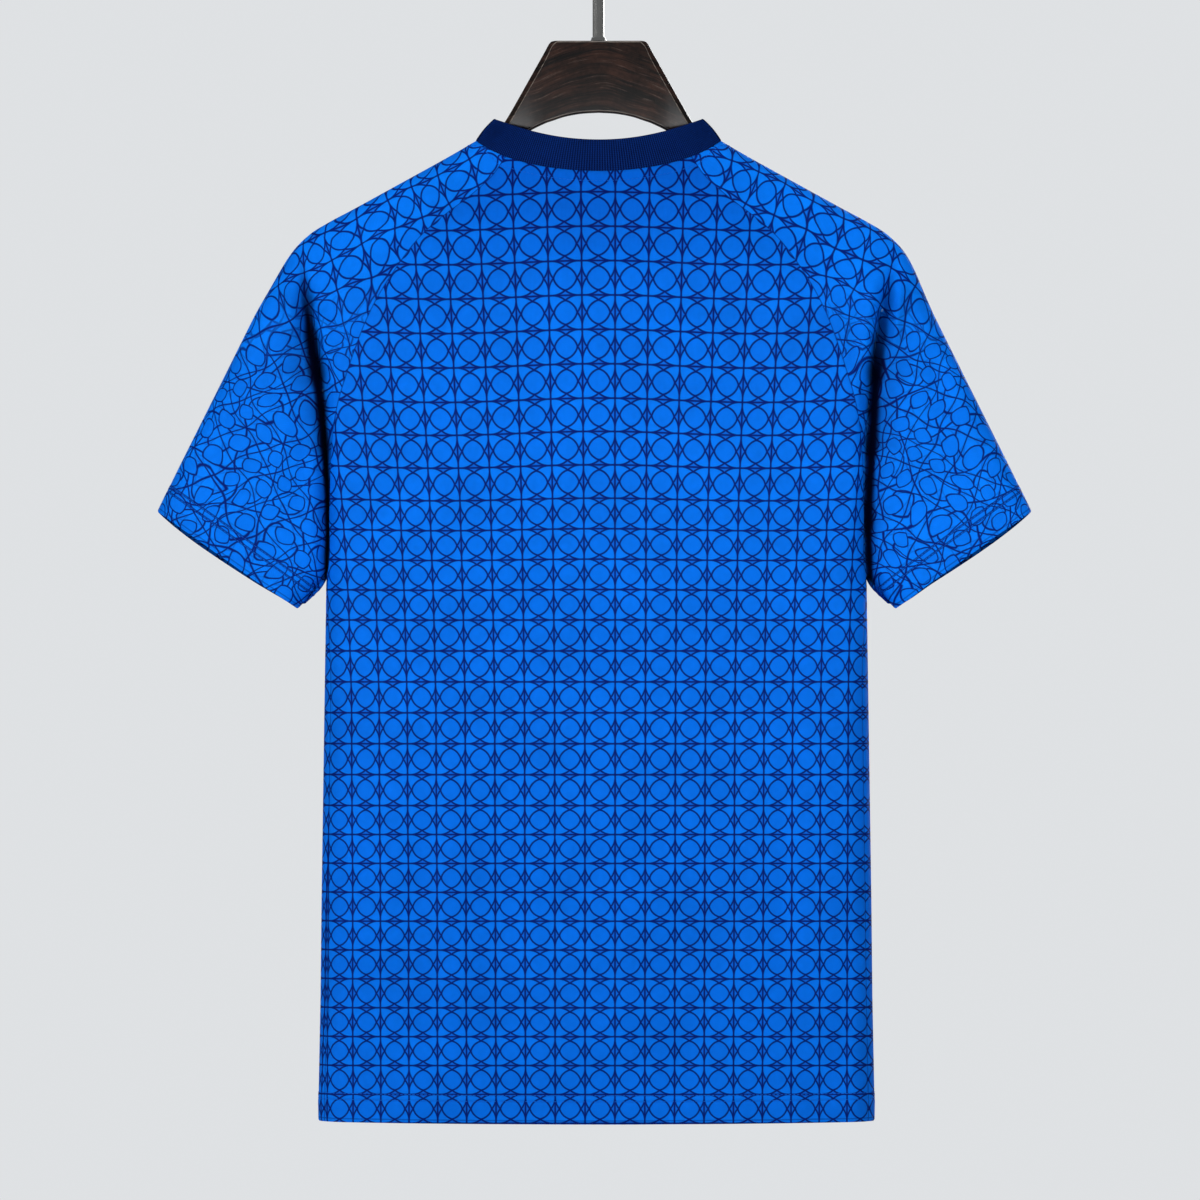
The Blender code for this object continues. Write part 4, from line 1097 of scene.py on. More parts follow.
# ---- making meshes ---------------------------------------------------------------------------
def wall_faces(rows, columns, ring):
    """Corners of a closed wall's faces, and for each face 0 outside and 1 inside.

    The corners are numbered on a grid that isn't joined round, also where the wall is a ring.
    """
    wide = columns + 1 if ring else columns
    count = rows * wide
    index = np.arange(count).reshape(rows, wide)
    quads = np.stack([index[:-1, :-1], index[:-1, 1:], index[1:, 1:], index[1:, :-1]], axis=-1)
    quads = quads.reshape(-1, 4)
    rims = [index[0], index[-1][::-1]]
    if not ring:
        rims += [index[:, -1], index[:, 0][::-1]]
    sides = [np.stack([rim[1:], rim[:-1], rim[:-1] + count, rim[1:] + count], axis=-1)
             for rim in rims]
    layer = np.concatenate([np.ones(len(quads), int) * k for k in (0, 1)]
                           + [np.zeros(len(side), int) for side in sides])
    return np.concatenate([quads, quads[:, ::-1] + count, *sides]), layer


def finish_mesh(name, points, faces, places, layer, materials, sharp=60.0):
    """Object from points, corners, UV places of the corners by name, and each face's material.

    Layer is the number of each face's material; edges that bend more than sharp stay sharp.
    """
    mesh = bpy.data.meshes.new(name)
    mesh.from_pydata(points.reshape(-1, 3).tolist(), [], faces.tolist())
    for material in materials:
        mesh.materials.append(material)
    mesh.polygons.foreach_set("material_index", np.asarray(layer, dtype=np.int32))
    for title, place_of in places.items():
        unwrapped = mesh.uv_layers.new(name=title)
        unwrapped.data.foreach_set("uv", np.asarray(place_of, dtype=np.float32).ravel())
    mesh.shade_smooth()
    mesh.set_sharp_from_angle(angle=math.radians(sharp))
    made = bpy.data.objects.new(name, mesh)
    bpy.context.scene.collection.objects.link(made)
    return made


def give_values(piece, title, values):
    """Puts one number on each point of a piece, for its material to read."""
    made = piece.data.attributes.new(title, "FLOAT", "POINT")
    made.data.foreach_set("value", values.astype(np.float32))


def wall_piece(name, outer, inner, marks, materials, ring=False):
    """Closed wall between two like grids, with the same UV places on both faces."""
    rows, columns = outer.shape[:2]
    corners, layer = wall_faces(rows, columns, ring)
    wide = columns + 1 if ring else columns
    shell, spot = corners // (rows * wide), corners % (rows * wide)
    vertex = shell * rows * columns + (spot // wide) * columns + (spot % wide) % columns
    points = np.concatenate([outer.reshape(-1, 3), inner.reshape(-1, 3)])
    first = points[vertex[0]]
    normal = np.cross(first[1] - first[0], first[3] - first[0])
    if np.dot(normal, outer[0, 0] - inner[0, 0]) < 0.0:
        vertex, spot = vertex[:, ::-1], spot[:, ::-1]
    places = {title: mark.reshape(-1, 2)[spot.ravel()] for title, mark in marks.items()}
    return finish_mesh(name, points, vertex, places, layer, materials)


def stitch_shape():
    """One stitch of thread, length 1 along and radius 1: rings that close at both ends.

    Ring k lies at -cos(pi k / 4) / 2 along, its radius is the square root of sin, and its
    middle arches up in the same way, so that the ends dip into the cloth.
    """
    ring = np.linspace(0.0, np.pi, 5)
    along = -0.5 * np.cos(ring)
    radius = np.sqrt(np.sin(ring[1:-1]))
    around = np.linspace(0.0, 2.0 * np.pi, 6, endpoint=False)
    body = np.stack([np.broadcast_to(along[1:-1, None], (3, 6)),
                     radius[:, None] * np.cos(around), radius[:, None] * np.sin(around)], axis=-1)
    lift = np.concatenate([[-1.2], np.repeat(0.9 * np.sin(ring[1:-1]) - 0.35, 6), [-1.2]])
    points = np.concatenate([[(along[0], 0, 0)], body.reshape(-1, 3), [(along[-1], 0, 0)]])
    k = np.arange(6)
    after = (k + 1) % 6
    caps = np.concatenate([np.stack([0 * k, 1 + after, 1 + k], axis=-1),
                           np.stack([0 * k + 19, 13 + k, 13 + after], axis=-1)])
    sides = [np.stack([s + k, s + after, s + 6 + after, s + 6 + k], axis=-1) for s in (1, 7)]
    quads = np.concatenate(sides)
    tris = np.concatenate([caps, quads[:, [0, 1, 2]], quads[:, [0, 2, 3]]])
    return points, lift, tris


def sewn_row(path, normal, stitches):
    """Points and faces of a row of stitches along a path with its cloth's normals."""
    way = np.concatenate([[0.0], np.cumsum(np.linalg.norm(np.diff(path, axis=0), axis=-1))])
    pitch = stitches.stitch + stitches.gap
    at = np.arange(0.5 * pitch, way[-1] - 0.5 * pitch, pitch)
    centre = rows_between(path, way, at)
    ahead = unit(rows_between(path, way, at + 0.5 * stitches.stitch)
                 - rows_between(path, way, at - 0.5 * stitches.stitch))
    up = rows_between(normal, way, at)
    up = unit(up - ahead * np.sum(up * ahead, axis=-1, keepdims=True))
    across = np.cross(up, ahead)
    shape, lift, tris = stitch_shape()
    r = stitches.thread
    points = (centre[:, None] + ahead[:, None] * (shape[:, 0:1] * stitches.stitch)
              + across[:, None] * (shape[:, 1:2] * r)
              + up[:, None] * ((shape[:, 2] + lift) * r)[:, None])
    faces = tris[None] + (np.arange(len(at)) * len(shape))[:, None, None]
    return points.reshape(-1, 3), faces.reshape(-1, 3)


def column_path(grid, normal, distance, from_last):
    """Points of a grid's columns at a distance from its last or first row."""
    way = lengths_down(grid)
    wanted = way[-1] - distance if from_last else np.full(grid.shape[1], distance)
    row = np.array([np.interp(w, way[:, c], np.arange(len(grid))) for c, w in enumerate(wanted)])
    low = np.minimum(row.astype(int), len(grid) - 2)
    t = (row - low)[:, None]
    c = np.arange(grid.shape[1])
    return (grid[low, c] * (1 - t) + grid[low + 1, c] * t,
            unit(normal[low, c] * (1 - t) + normal[low + 1, c] * t))


def sew(name, paths, stitches, material):
    """One piece of all the stitches along several paths."""
    points, faces, count = [], [], 0
    for path, normal in paths:
        made, corners = sewn_row(path, normal, stitches)
        points.append(made)
        faces.append(corners + count)
        count += len(made)
    points, faces = np.concatenate(points), np.concatenate(faces)
    piece = finish_mesh(name, points, faces, {}, np.zeros(len(faces), int), [material], 80.0)
    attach(piece, "root")
    return piece


# ---- materials -------------------------------------------------------------------------------
class Tree:
    """Short way to write a node tree: each call adds a node and returns its output."""

    def __init__(self, tree):
        self.nodes, self.links = tree.nodes, tree.links

    def put(self, kind, inputs=(), output=0, **options):
        """Adds a node, sets its options, feeds its inputs and returns one of its outputs."""
        node = self.nodes.new(kind)
        for key, value in options.items():
            setattr(node, key, value)
        for key, value in dict(inputs).items():
            self.feed(node.inputs[key], value)
        return node.outputs[output]

    def feed(self, socket, value):
        """Links an output to a socket, or sets the socket's own value."""
        if isinstance(value, bpy.types.NodeSocket):
            self.links.new(value, socket)
        else:
            socket.default_value = value

    def math(self, operation, a, b=0.0, c=0.0):
        """One sum on one to three values."""
        return self.put("ShaderNodeMath", {0: a, 1: b, 2: c}, operation=operation)

    def mix(self, factor, a, b):
        """Colour a where factor is 0, colour b where it is 1."""
        node = self.nodes.new("ShaderNodeMix")
        node.data_type = "RGBA"
        self.feed(node.inputs[0], factor)
        self.feed(node.inputs[6], a)
        self.feed(node.inputs[7], b)
        return node.outputs[2]

    def ramp(self, value, low, high, to_low=0.0, to_high=1.0):
        """Value carried from one range to another on a smooth step."""
        return self.put("ShaderNodeMapRange", {0: value, 1: low, 2: high, 3: to_low, 4: to_high},
                        interpolation_type="SMOOTHSTEP")

    def point_value(self, title):
        """Number that give_values put on the points under this title."""
        return self.put("ShaderNodeAttribute", output=2, attribute_name=title)

    def object_place(self):
        """Place of the shaded point in the object's own coordinates."""
        return self.put("ShaderNodeTexCoord", output=3)

    def mottle(self, scale, amount):
        """Uneven tone about the value 1."""
        made = use(self, mottle_group(), Place=self.object_place(), Scale=scale, Amount=amount)
        return made["Tone"]

    def raise_normal(self, shader, height, strength, distance):
        """Gives a shader the fine relief of a height."""
        bump = self.put("ShaderNodeBump", {"Height": height, "Strength": strength,
                                           "Distance": distance})
        self.feed(shader.inputs["Normal"], bump)


def group(name, sockets_in, sockets_out, fill):
    """Shader node group with named sockets; fill draws it once from its inputs."""
    made = bpy.data.node_groups.get(name)
    if made:
        return made
    made = bpy.data.node_groups.new(name, "ShaderNodeTree")
    for label, kind, default in sockets_in:
        socket = made.interface.new_socket(name=label, in_out="INPUT", socket_type=kind)
        if default is not None:
            socket.default_value = default
    for label, kind in sockets_out:
        made.interface.new_socket(name=label, in_out="OUTPUT", socket_type=kind)
    start = made.nodes.new("NodeGroupInput")
    end = made.nodes.new("NodeGroupOutput")
    tree = Tree(made)
    for label, value in fill(tree, start.outputs).items():
        tree.feed(end.inputs[label], value)
    return made


def use(tree, made, **inputs):
    """Places a node group in a tree and returns its outputs by name."""
    node = tree.nodes.new("ShaderNodeGroup")
    node.node_tree = made
    for key, value in inputs.items():
        tree.feed(node.inputs[key.replace("_", " ")], value)
    return node.outputs


FLOAT, VECTOR, COLOUR = "NodeSocketFloat", "NodeSocketVector", "NodeSocketColor"


def lattice_group():
    """Overlapping circles on a square lattice, which leave a round cell amid each square.

    In a square folded to one quarter, a point lies p and q out from the middle, up to 0.5.
    Three arcs are drawn there, and the sides: the ring of radius RING about a point RING_IN
    beyond the middle, and one arc of radius BOW beside each side, level with BOW_UP.  The open
    lines are the ring and the sides alone.
    """
    def fill(tree, start):
        parts = tree.put("ShaderNodeSeparateXYZ", {0: tree.put(
            "ShaderNodeVectorMath", {0: start["Place"]}, operation="FRACTION")})
        parts = parts.node.outputs
        p = tree.math("ABSOLUTE", tree.math("SUBTRACT", parts[0], 0.5))
        q = tree.math("ABSOLUTE", tree.math("SUBTRACT", parts[1], 0.5))

        def reach(x, dx, y, dy):
            across, up = tree.math("ADD", x, dx), tree.math("ADD", y, dy)
            square = tree.math("MULTIPLY_ADD", across, across, tree.math("MULTIPLY", up, up))
            return tree.math("SQRT", square)

        ring = tree.math("SUBTRACT", reach(p, RING_IN, q, RING_IN), RING)
        side = tree.math("SUBTRACT", reach(p, BOW - 0.5, q, -BOW_UP), BOW)
        under = tree.math("SUBTRACT", reach(q, BOW - 0.5, p, -BOW_UP), BOW)
        gap = tree.math("SUBTRACT", 0.5, tree.math("MAXIMUM", p, q))
        gap = tree.math("MINIMUM", gap, tree.math("ABSOLUTE", ring))
        full, faint = (tree.math("MULTIPLY", start["Width"], share) for share in (0.45, 1.7))
        open_line = tree.ramp(gap, full, faint, 1.0, 0.0)
        for off in (side, under):
            gap = tree.math("MINIMUM", gap, tree.math("ABSOLUTE", off))
        line = tree.ramp(gap, full, faint, 1.0, 0.0)
        cell = tree.ramp(ring, -0.02, 0.0, 1.0, 0.0)
        lens = tree.ramp(tree.math("MAXIMUM", side, under), 0.0, 0.012)
        return {"Line": line, "Open": open_line, "Cell": cell, "Lens": lens}

    return group("circle lattice", (("Place", VECTOR, None), ("Width", FLOAT, 0.022)),
                 (("Line", FLOAT), ("Open", FLOAT), ("Cell", FLOAT), ("Lens", FLOAT)), fill)


def knit_group():
    """Plain knit: columns of V-shaped stitches, higher in the middle of each leg.

    Height is the square of the sine across a column, plus a sine down the column that runs
    ahead towards the column's sides.
    """
    def fill(tree, start):
        parts = tree.put("ShaderNodeSeparateXYZ", {0: tree.put(
            "ShaderNodeVectorMath", {0: start["Place"], 3: start["Stitches"]},
            operation="SCALE")}).node.outputs
        column = tree.math("SINE", tree.math("MULTIPLY", parts[0], math.pi))
        column = tree.math("MULTIPLY", column, column)
        leg = tree.math("ABSOLUTE", tree.math("SUBTRACT", tree.math("FRACT", parts[0]), 0.5))
        phase = tree.math("ADD", parts[1], leg)
        loop = tree.math("SINE", tree.math("MULTIPLY", phase, 2.0 * math.pi))
        return {"Height": tree.math("MULTIPLY_ADD", loop, 0.3, column)}

    return group("knit stitches", (("Place", VECTOR, None), ("Stitches", FLOAT, 26.0)),
                 (("Height", FLOAT),), fill)


def mottle_group():
    """Uneven tone of a surface: two noises, one broad and one fine, about the value 1."""
    def fill(tree, start):
        broad = tree.put("ShaderNodeTexNoise", {"Vector": start["Place"], "Scale": start["Scale"],
                                                "Detail": 2.0})
        fine_scale = tree.math("MULTIPLY", start["Scale"], 9.0)
        fine = tree.put("ShaderNodeTexNoise", {"Vector": start["Place"], "Scale": fine_scale,
                                               "Detail": 1.0})
        both = tree.math("MULTIPLY_ADD", fine, 0.5, broad)
        off = tree.math("SUBTRACT", both, 0.75)
        return {"Tone": tree.math("MULTIPLY_ADD", off, start["Amount"], 1.0)}

    return group("mottle", (("Place", VECTOR, None), ("Scale", FLOAT, 12.0),
                            ("Amount", FLOAT, 0.3)), (("Tone", FLOAT),), fill)


def shader_of(name, **sockets):
    """New material with its Principled shader's own sockets set."""
    made = bpy.data.materials.new(name)
    made.use_nodes = True
    shader = made.node_tree.nodes["Principled BSDF"]
    for key, value in sockets.items():
        shader.inputs[key.replace("_", " ")].default_value = value
    return made, Tree(made.node_tree), shader


def toned(tree, colour, tone):
    """Colour multiplied by an uneven tone."""
    plain = colour if isinstance(colour, bpy.types.NodeSocket) else colour[:3]
    return tree.put("ShaderNodeVectorMath", {0: plain, 1: tone}, operation="MULTIPLY")


def solid(colour):
    """Colour with its alpha."""
    return (*colour, 1.0)


def sewn_lines(tree, stitches):
    """Thin shade along the seams, the two sewn rows and the fold of a turned edge, from 0 to 1.

    The rows are stronger on the cuffs, which the second lattice marks out, than on the hem.
    """
    from_edge = tree.point_value("from_edge")
    from_seam = tree.point_value("from_seam")
    tangle = tree.point_value("tangle")
    most = tree.math("MULTIPLY_ADD", tangle, 0.70, 0.12)
    near = tree.ramp(from_seam, 0.0002, 0.0007, 0.65, 0.0)
    for row in (stitches.first_row, stitches.second_row):
        off = tree.math("ABSOLUTE", tree.math("SUBTRACT", from_edge, row))
        near = tree.math("MAXIMUM", near, tree.ramp(off, 0.0005, 0.0013, most, 0.0))
    turn = tree.math("ABSOLUTE", tree.math("SUBTRACT", from_edge, TURN_LINE))
    return tree.math("MAXIMUM", near, tree.ramp(turn, 0.0002, 0.0008, 0.5, 0.0))


def cloth_material(name, settings, stitches, printed=True):
    """Azure knit printed with the circle lattice.

    On the inner face the print shows through faintly, and in full on the turned edge, where it is
    darkened as painted shade.
    """
    made, tree, shader = shader_of(
        name, Roughness=0.72, Sheen_Weight=0.02, Sheen_Roughness=0.4,
        Sheen_Tint=(0.04, 0.42, 1.0, 1.0), Specular_IOR_Level=0.035)
    place_on = tree.put("ShaderNodeUVMap", uv_map="print")
    tangle = tree.point_value("tangle")
    wide = settings.line_width
    width = tree.math("MULTIPLY_ADD", tangle, -0.06 * wide, wide)
    marks = use(tree, lattice_group(), Place=place_on, Width=width)
    knit = use(tree, knit_group(), Place=place_on, Stitches=settings.knit_stitches)
    over_on = tree.put("ShaderNodeUVMap", uv_map="overlay")
    over = use(tree, lattice_group(), Place=over_on, Width=settings.overlay_width)
    colour = tree.mix(marks["Cell"], solid(settings.ground), solid(settings.cell))
    plain = tree.math("MULTIPLY_ADD", tangle, -0.8, 1.0)
    colour = tree.mix(tree.math("MULTIPLY", marks["Lens"], plain), colour, solid(settings.lens))
    outside = tree.math("MULTIPLY_ADD", marks["Cell"], tree.math("MULTIPLY", tangle, -1.0), tangle)
    bows = tree.math("MULTIPLY", marks["Line"], tree.math("MULTIPLY_ADD", tangle, -0.75, 1.0))
    lines = tree.math("MAXIMUM", bows, marks["Open"])
    lines = tree.math("MAXIMUM", lines, tree.math("MULTIPLY", over["Open"], outside))
    colour = tree.mix(lines, colour, solid(settings.line))
    if not printed:
        last = stitches.second_row
        turned = tree.ramp(tree.point_value("from_edge"), last, last + 0.001, 1.0, 0.22)
        # painted shade: the print on the turned inner edge darkened, more so inside the cuffs
        shaded = tree.math("MULTIPLY_ADD", tangle, -0.28, 0.62)
        colour = tree.mix(turned, solid(settings.inside), toned(
            tree, colour, tree.ramp(turned, 0.3, 1.0, 1.0, shaded)))
    # painted light and shade on the knit: its low parts darker, its high parts lighter
    knit_shade = tree.math("MULTIPLY_ADD", knit["Height"], 0.10, 0.94)
    # painted light and shade: the lift brightens the sleeves and the panels about their middle
    # height, and darkens the panels under the collar
    lift = tree.point_value("lift")
    lit = tree.put("ShaderNodeVectorMath", {0: lift, 1: PAINTED_LIGHT_TINT, 2: (1.0, 1.0, 1.0)},
                   operation="MULTIPLY_ADD")
    # random mottle times the painted shade of the knit
    uneven = tree.math("MULTIPLY", tree.mottle(22.0, 0.32), knit_shade)
    colour = toned(tree, toned(tree, colour, lit), uneven)
    colour = tree.mix(sewn_lines(tree, stitches), colour, solid(settings.seam))
    # painted shade: the deep fold between sleeve and body darkened to near black
    colour = tree.mix(tree.point_value("fold_painted_shade"), colour, solid(settings.deep))
    tree.feed(shader.inputs["Base Color"], colour)
    tree.feed(shader.inputs["Roughness"], tree.math("MULTIPLY_ADD", lines, -0.06, 0.63))
    tree.raise_normal(shader, knit["Height"], 0.55, 0.00012)
    return made


def rib_material(settings):
    """Navy rib: lighter crests, dark furrows and small loops down each rib; the dark is painted
    shade.
    """
    made, tree, shader = shader_of(
        "rib knit", Roughness=0.85, Sheen_Weight=0.02, Sheen_Roughness=0.5,
        Sheen_Tint=(0.04, 0.3, 0.9, 1.0), Specular_IOR_Level=0.03)
    place_on = tree.put("ShaderNodeUVMap", uv_map="ribs")
    parts = tree.put("ShaderNodeSeparateXYZ", {0: place_on}).node.outputs
    crest = tree.math("COSINE", tree.math("MULTIPLY", parts[0], 2.0 * math.pi))
    crest = tree.math("MULTIPLY_ADD", crest, 0.5, 0.5)
    leg = tree.math("ABSOLUTE", tree.math("SUBTRACT", tree.math("FRACT", parts[0]), 0.5))
    phase = tree.math("MULTIPLY", tree.math("ADD", parts[1], leg), 2.0 * math.pi)
    loop = tree.math("MULTIPLY_ADD", tree.math("SINE", phase), 0.5, 0.5)
    height = tree.math("MULTIPLY_ADD", crest, 0.6, tree.math("MULTIPLY", loop, 0.4))
    # painted shade: the low parts of ribs and loops darkened towards the furrow's near black
    colour = tree.mix(tree.ramp(height, 0.1, 0.9), solid(settings.furrow), solid(settings.crest))
    tree.feed(shader.inputs["Base Color"], toned(tree, colour, tree.mottle(30.0, 0.5)))
    tree.raise_normal(shader, height, 0.6, 0.00025)
    return made


def thread_material(stitches):
    """Twisted polyester thread."""
    made, tree, shader = shader_of("sewing thread", Roughness=0.6, Specular_IOR_Level=0.12)
    colour = toned(tree, solid(stitches.colour), tree.mottle(400.0, 0.6))
    tree.feed(shader.inputs["Base Color"], colour)
    return made


def wood_material(settings):
    """Dark varnished wood: fine streaks that fall outwards on both sides of the middle."""
    made, tree, shader = shader_of(
        "dark wood", Roughness=0.42, Coat_Weight=0.55, Coat_Roughness=0.24,
        Specular_IOR_Level=0.10)
    spot = tree.object_place()
    parts = tree.put("ShaderNodeSeparateXYZ", {0: spot}).node.outputs
    wide = tree.math("SQRT", tree.math("MULTIPLY_ADD", parts[0], parts[0], 0.00015))
    fall = tree.math("MULTIPLY_ADD", wide, 0.40, parts[2])
    drift = tree.put("ShaderNodeTexNoise", {"Vector": spot, "Scale": 32.0, "Detail": 1.0})
    fall = tree.math("MULTIPLY_ADD", drift, 0.006, fall)
    lie = tree.put("ShaderNodeCombineXYZ", {
        0: tree.math("MULTIPLY", parts[0], 0.05),
        1: tree.math("MULTIPLY", parts[1], 0.5),
        2: fall})
    streak = tree.put("ShaderNodeTexNoise", {"Vector": lie, "Scale": 820.0, "Detail": 3.0,
                                             "Roughness": 0.62})
    broad = tree.put("ShaderNodeTexNoise", {"Vector": lie, "Scale": 170.0, "Detail": 1.0})
    grain = tree.math("MULTIPLY_ADD", broad, 0.5, tree.math("MULTIPLY", streak, 0.7))
    colour = tree.mix(tree.ramp(grain, 0.50, 0.74), solid(settings.dark), solid(settings.light))
    hair = tree.math("MULTIPLY", tree.ramp(streak, 0.60, 0.72), 0.16)
    colour = tree.mix(hair, colour, solid(settings.wear_and_edge_highlight))
    colour = toned(tree, colour, tree.mottle(42.0, 2.6))
    # pale edge wear, which also paints the highlight that the edges catch
    patchy = tree.ramp(streak, 0.30, 0.62, 0.25, 0.95)
    rubbed = tree.math("MULTIPLY", tree.point_value("wear_and_edge_highlight"), patchy)
    tree.feed(shader.inputs["Base Color"], tree.mix(rubbed, colour, solid(settings.wear_and_edge_highlight)))
    tree.feed(shader.inputs["Roughness"], tree.math("MULTIPLY_ADD", grain, 0.25, 0.28))
    tree.raise_normal(shader, streak, 0.25, 0.0002)
    return made


def metal_material(settings):
    """Plated wire with faint handling marks."""
    made, tree, shader = shader_of("hook chrome", Metallic=1.0, Roughness=0.16)
    tone = tree.mottle(120.0, 0.18)
    tree.feed(shader.inputs["Base Color"], toned(tree, solid(settings.metal), tone))
    tree.feed(shader.inputs["Roughness"], tree.math("MULTIPLY", tone, 0.15))
    return made


# ---- operators -------------------------------------------------------------------------------
def settings_of(context, name):
    """The property group of that name on the scene."""
    return getattr(context.scene, name)


class JERSEY_OT_cloth(bpy.types.Operator):
    """Builds the back, the front and the two sleeves with their stitching"""

    bl_idname = "jersey.cloth"
    bl_label = "Build cloth"

    def execute(self, context):
        settings = settings_of(context, "jersey_cloth")
        stitches = settings_of(context, "jersey_stitches")
        grids = cloth_grids(settings, stitches)
        body = cloth_material("printed jersey", settings, stitches)
        inside = cloth_material("jersey inside", settings, stitches, printed=False)
        thread = thread_material(stitches)
        rows = (stitches.first_row, stitches.second_row)
        for name, (outer, normal, places, values) in grids.items():
            inner = outer - settings.wall * normal
            piece = wall_piece(name + "_cloth", outer, inner, places, [body, inside])
            for title, share in values.items():
                give_values(piece, title, np.tile(share.ravel(), 2))
            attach(piece, "root")
            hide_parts(name)
            paths = [column_path(outer, normal, row, True) for row in rows]
            paths.append(column_path(outer, normal, stitches.neck_row, False))
            sewing = sew(name + "_stitching", paths, stitches, thread)
        return {"FINISHED"}


class JERSEY_OT_collar(bpy.types.Operator):
    """Builds the ribbed collar"""

    bl_idname = "jersey.collar"
    bl_label = "Build collar"

    def execute(self, context):
        settings = settings_of(context, "jersey_collar")
        outer, inner, marks = collar_grids(settings)
        knit = rib_material(settings)
        piece = wall_piece("collar_knit", outer, inner, {"ribs": marks}, [knit, knit], ring=True)
        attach(piece, "root")
        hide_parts("collar_rib")
        return {"FINISHED"}


class JERSEY_OT_hanger(bpy.types.Operator):
    """Builds the hanger's wooden bar and gives its hook the plated metal"""

    bl_idname = "jersey.hanger"
    bl_label = "Build hanger"

    def execute(self, context):
        settings = settings_of(context, "jersey_hanger")
        grid, wear_and_edge_highlight = bar_grid(settings.edge_round)
        faces = bar_faces(*grid.shape[:2])
        points = np.concatenate([grid.reshape(-1, 3), grid[0].mean(axis=0)[None],
                                 grid[-1].mean(axis=0)[None]])
        bar = finish_mesh("hanger_wood", points, faces, {}, np.zeros(len(faces), int),
                          [wood_material(settings)], 80.0)
        # pale edge wear with painted highlight, for the wood's material
        give_values(bar, "wear_and_edge_highlight", np.concatenate([wear_and_edge_highlight.ravel(), (0.0, 0.0)]))
        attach(bar, "root")
        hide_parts("hanger_bar")
        metal = metal_material(settings)
        for name in ("hanger_ferrule", "hanger_hook"):
            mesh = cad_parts[name].data
            mesh.materials.clear()
            mesh.materials.append(metal)
        return {"FINISHED"}


class JERSEY_OT_stage(bpy.types.Operator):
    """Builds the pale floor, the soft light and the camera"""

    bl_idname = "jersey.stage"
    bl_label = "Build stage"

    def execute(self, context):
        settings = settings_of(context, "jersey_stage")
        build_floor(settings)
        build_light(settings)
        build_camera(context, settings)
        context.scene.view_settings.view_transform = "Standard"
        return {"FINISHED"}


def build_floor(settings):
    """One level square under the jersey."""
    r = settings.floor_reach
    z = WOOD_TOP - HEM_DROP * MM - settings.floor_drop
    mesh = bpy.data.meshes.new("floor")
    mesh.from_pydata([(-r, -r, z), (r, -r, z), (r, r, z), (-r, r, z)], [], [(0, 1, 2, 3)])
    made, tree, shader = shader_of(
        "pale floor", Roughness=0.9, Specular_IOR_Level=0.05,
        Emission_Color=solid(settings.floor_tone))
    matt = solid([STAGE_MATT * part for part in settings.floor_tone])
    tree.feed(shader.inputs["Base Color"], toned(tree, matt, tree.mottle(1.5, 0.04)))
    seen = tree.put("ShaderNodeLightPath")
    tree.feed(shader.inputs["Emission Strength"], tree.math("MULTIPLY", seen, STAGE_GLOW))
    mesh.materials.append(made)
    floor = bpy.data.objects.new("floor", mesh)
    bpy.context.scene.collection.objects.link(floor)


def build_light(settings):
    """Pale air all round and four large soft lamps, which the camera doesn't see."""
    world = bpy.data.worlds.new("pale air")
    world.use_nodes = True
    tree = Tree(world.node_tree)
    sky = world.node_tree.nodes["Background"]
    sky.inputs["Color"].default_value = solid(settings.air)
    seen = tree.put("ShaderNodeLightPath")
    tree.feed(sky.inputs["Strength"], tree.math("MULTIPLY_ADD", seen, AIR_SEEN, AIR_LIGHT))
    bpy.context.scene.world = world
    for name, spot, (width, height), power in LAMPS:
        lamp = bpy.data.lights.new(name, "AREA")
        lamp.shape = "RECTANGLE"
        lamp.size, lamp.size_y = width, height
        lamp.energy = power
        made = bpy.data.objects.new(name, lamp)
        made.location = spot
        towards = Vector((0.0, 0.0, settings.centre_z)) - made.location
        made.rotation_euler = towards.to_track_quat("-Z", "Y").to_euler()
        made.visible_camera = False
        bpy.context.scene.collection.objects.link(made)


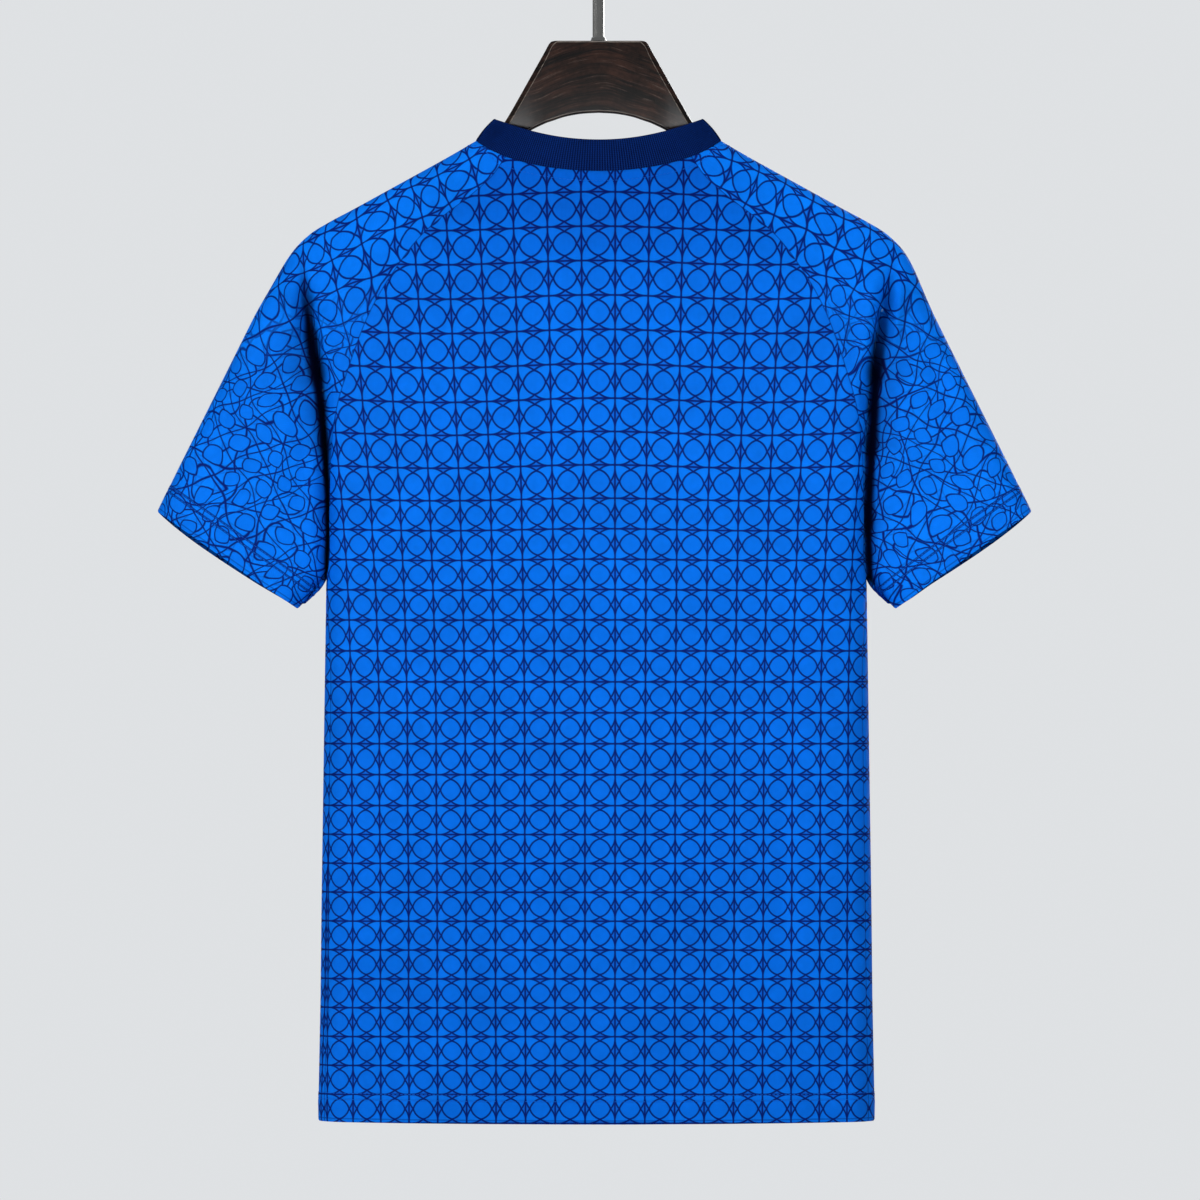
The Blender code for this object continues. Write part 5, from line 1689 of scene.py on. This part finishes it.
def build_camera(context, settings):
    """Level camera square to the hanger's plane, at the photographed framing."""
    lens = bpy.data.cameras.new("camera")
    lens.sensor_width = SENSOR_WIDTH
    lens.lens = SENSOR_WIDTH * settings.camera_distance / settings.frame_width
    lens.clip_end = VIEW_ENDS
    camera = bpy.data.objects.new("camera", lens)
    camera.location = (settings.centre_x, -settings.camera_distance, settings.centre_z)
    camera.rotation_euler = (math.radians(90.0), 0.0, 0.0)
    context.scene.collection.objects.link(camera)
    context.scene.camera = camera


# ---- panel and registration ------------------------------------------------------------------
STEPS = (JERSEY_OT_cloth, JERSEY_OT_collar, JERSEY_OT_hanger, JERSEY_OT_stage)
GROUPS = {
    "jersey_cloth": JerseyClothSettings,
    "jersey_collar": JerseyCollarSettings,
    "jersey_stitches": JerseyStitchSettings,
    "jersey_hanger": JerseyHangerSettings,
    "jersey_stage": JerseyStageSettings,
}


class JERSEY_PT_build(bpy.types.Panel):
    """Lists the steps that build the jersey and the values that they use"""

    bl_idname = "JERSEY_PT_build"
    bl_label = "Pre-match jersey"
    bl_space_type = "VIEW_3D"
    bl_region_type = "UI"
    bl_category = "Jersey"

    def draw(self, context):
        for made in STEPS:
            self.layout.operator(made.bl_idname)
        for name in GROUPS:
            box = self.layout.box()
            values = settings_of(context, name)
            for key in values.__annotations__:
                box.prop(values, key)


def register():
    """Registers the classes and puts their values on the scene."""
    for name, made in GROUPS.items():
        bpy.utils.register_class(made)
        setattr(bpy.types.Scene, name, bpy.props.PointerProperty(type=made))
    for made in STEPS:
        bpy.utils.register_class(made)
    bpy.utils.register_class(JERSEY_PT_build)


def unregister():
    """Takes them off again."""
    bpy.utils.unregister_class(JERSEY_PT_build)
    for made in reversed(STEPS):
        bpy.utils.unregister_class(made)
    for name, made in reversed(GROUPS.items()):
        delattr(bpy.types.Scene, name)
        bpy.utils.unregister_class(made)


def main():
    """Builds everything in order."""
    register()
    bpy.ops.jersey.cloth()
    bpy.ops.jersey.collar()
    bpy.ops.jersey.hanger()
    bpy.ops.jersey.stage()


if __name__ == "__main__":
    main()
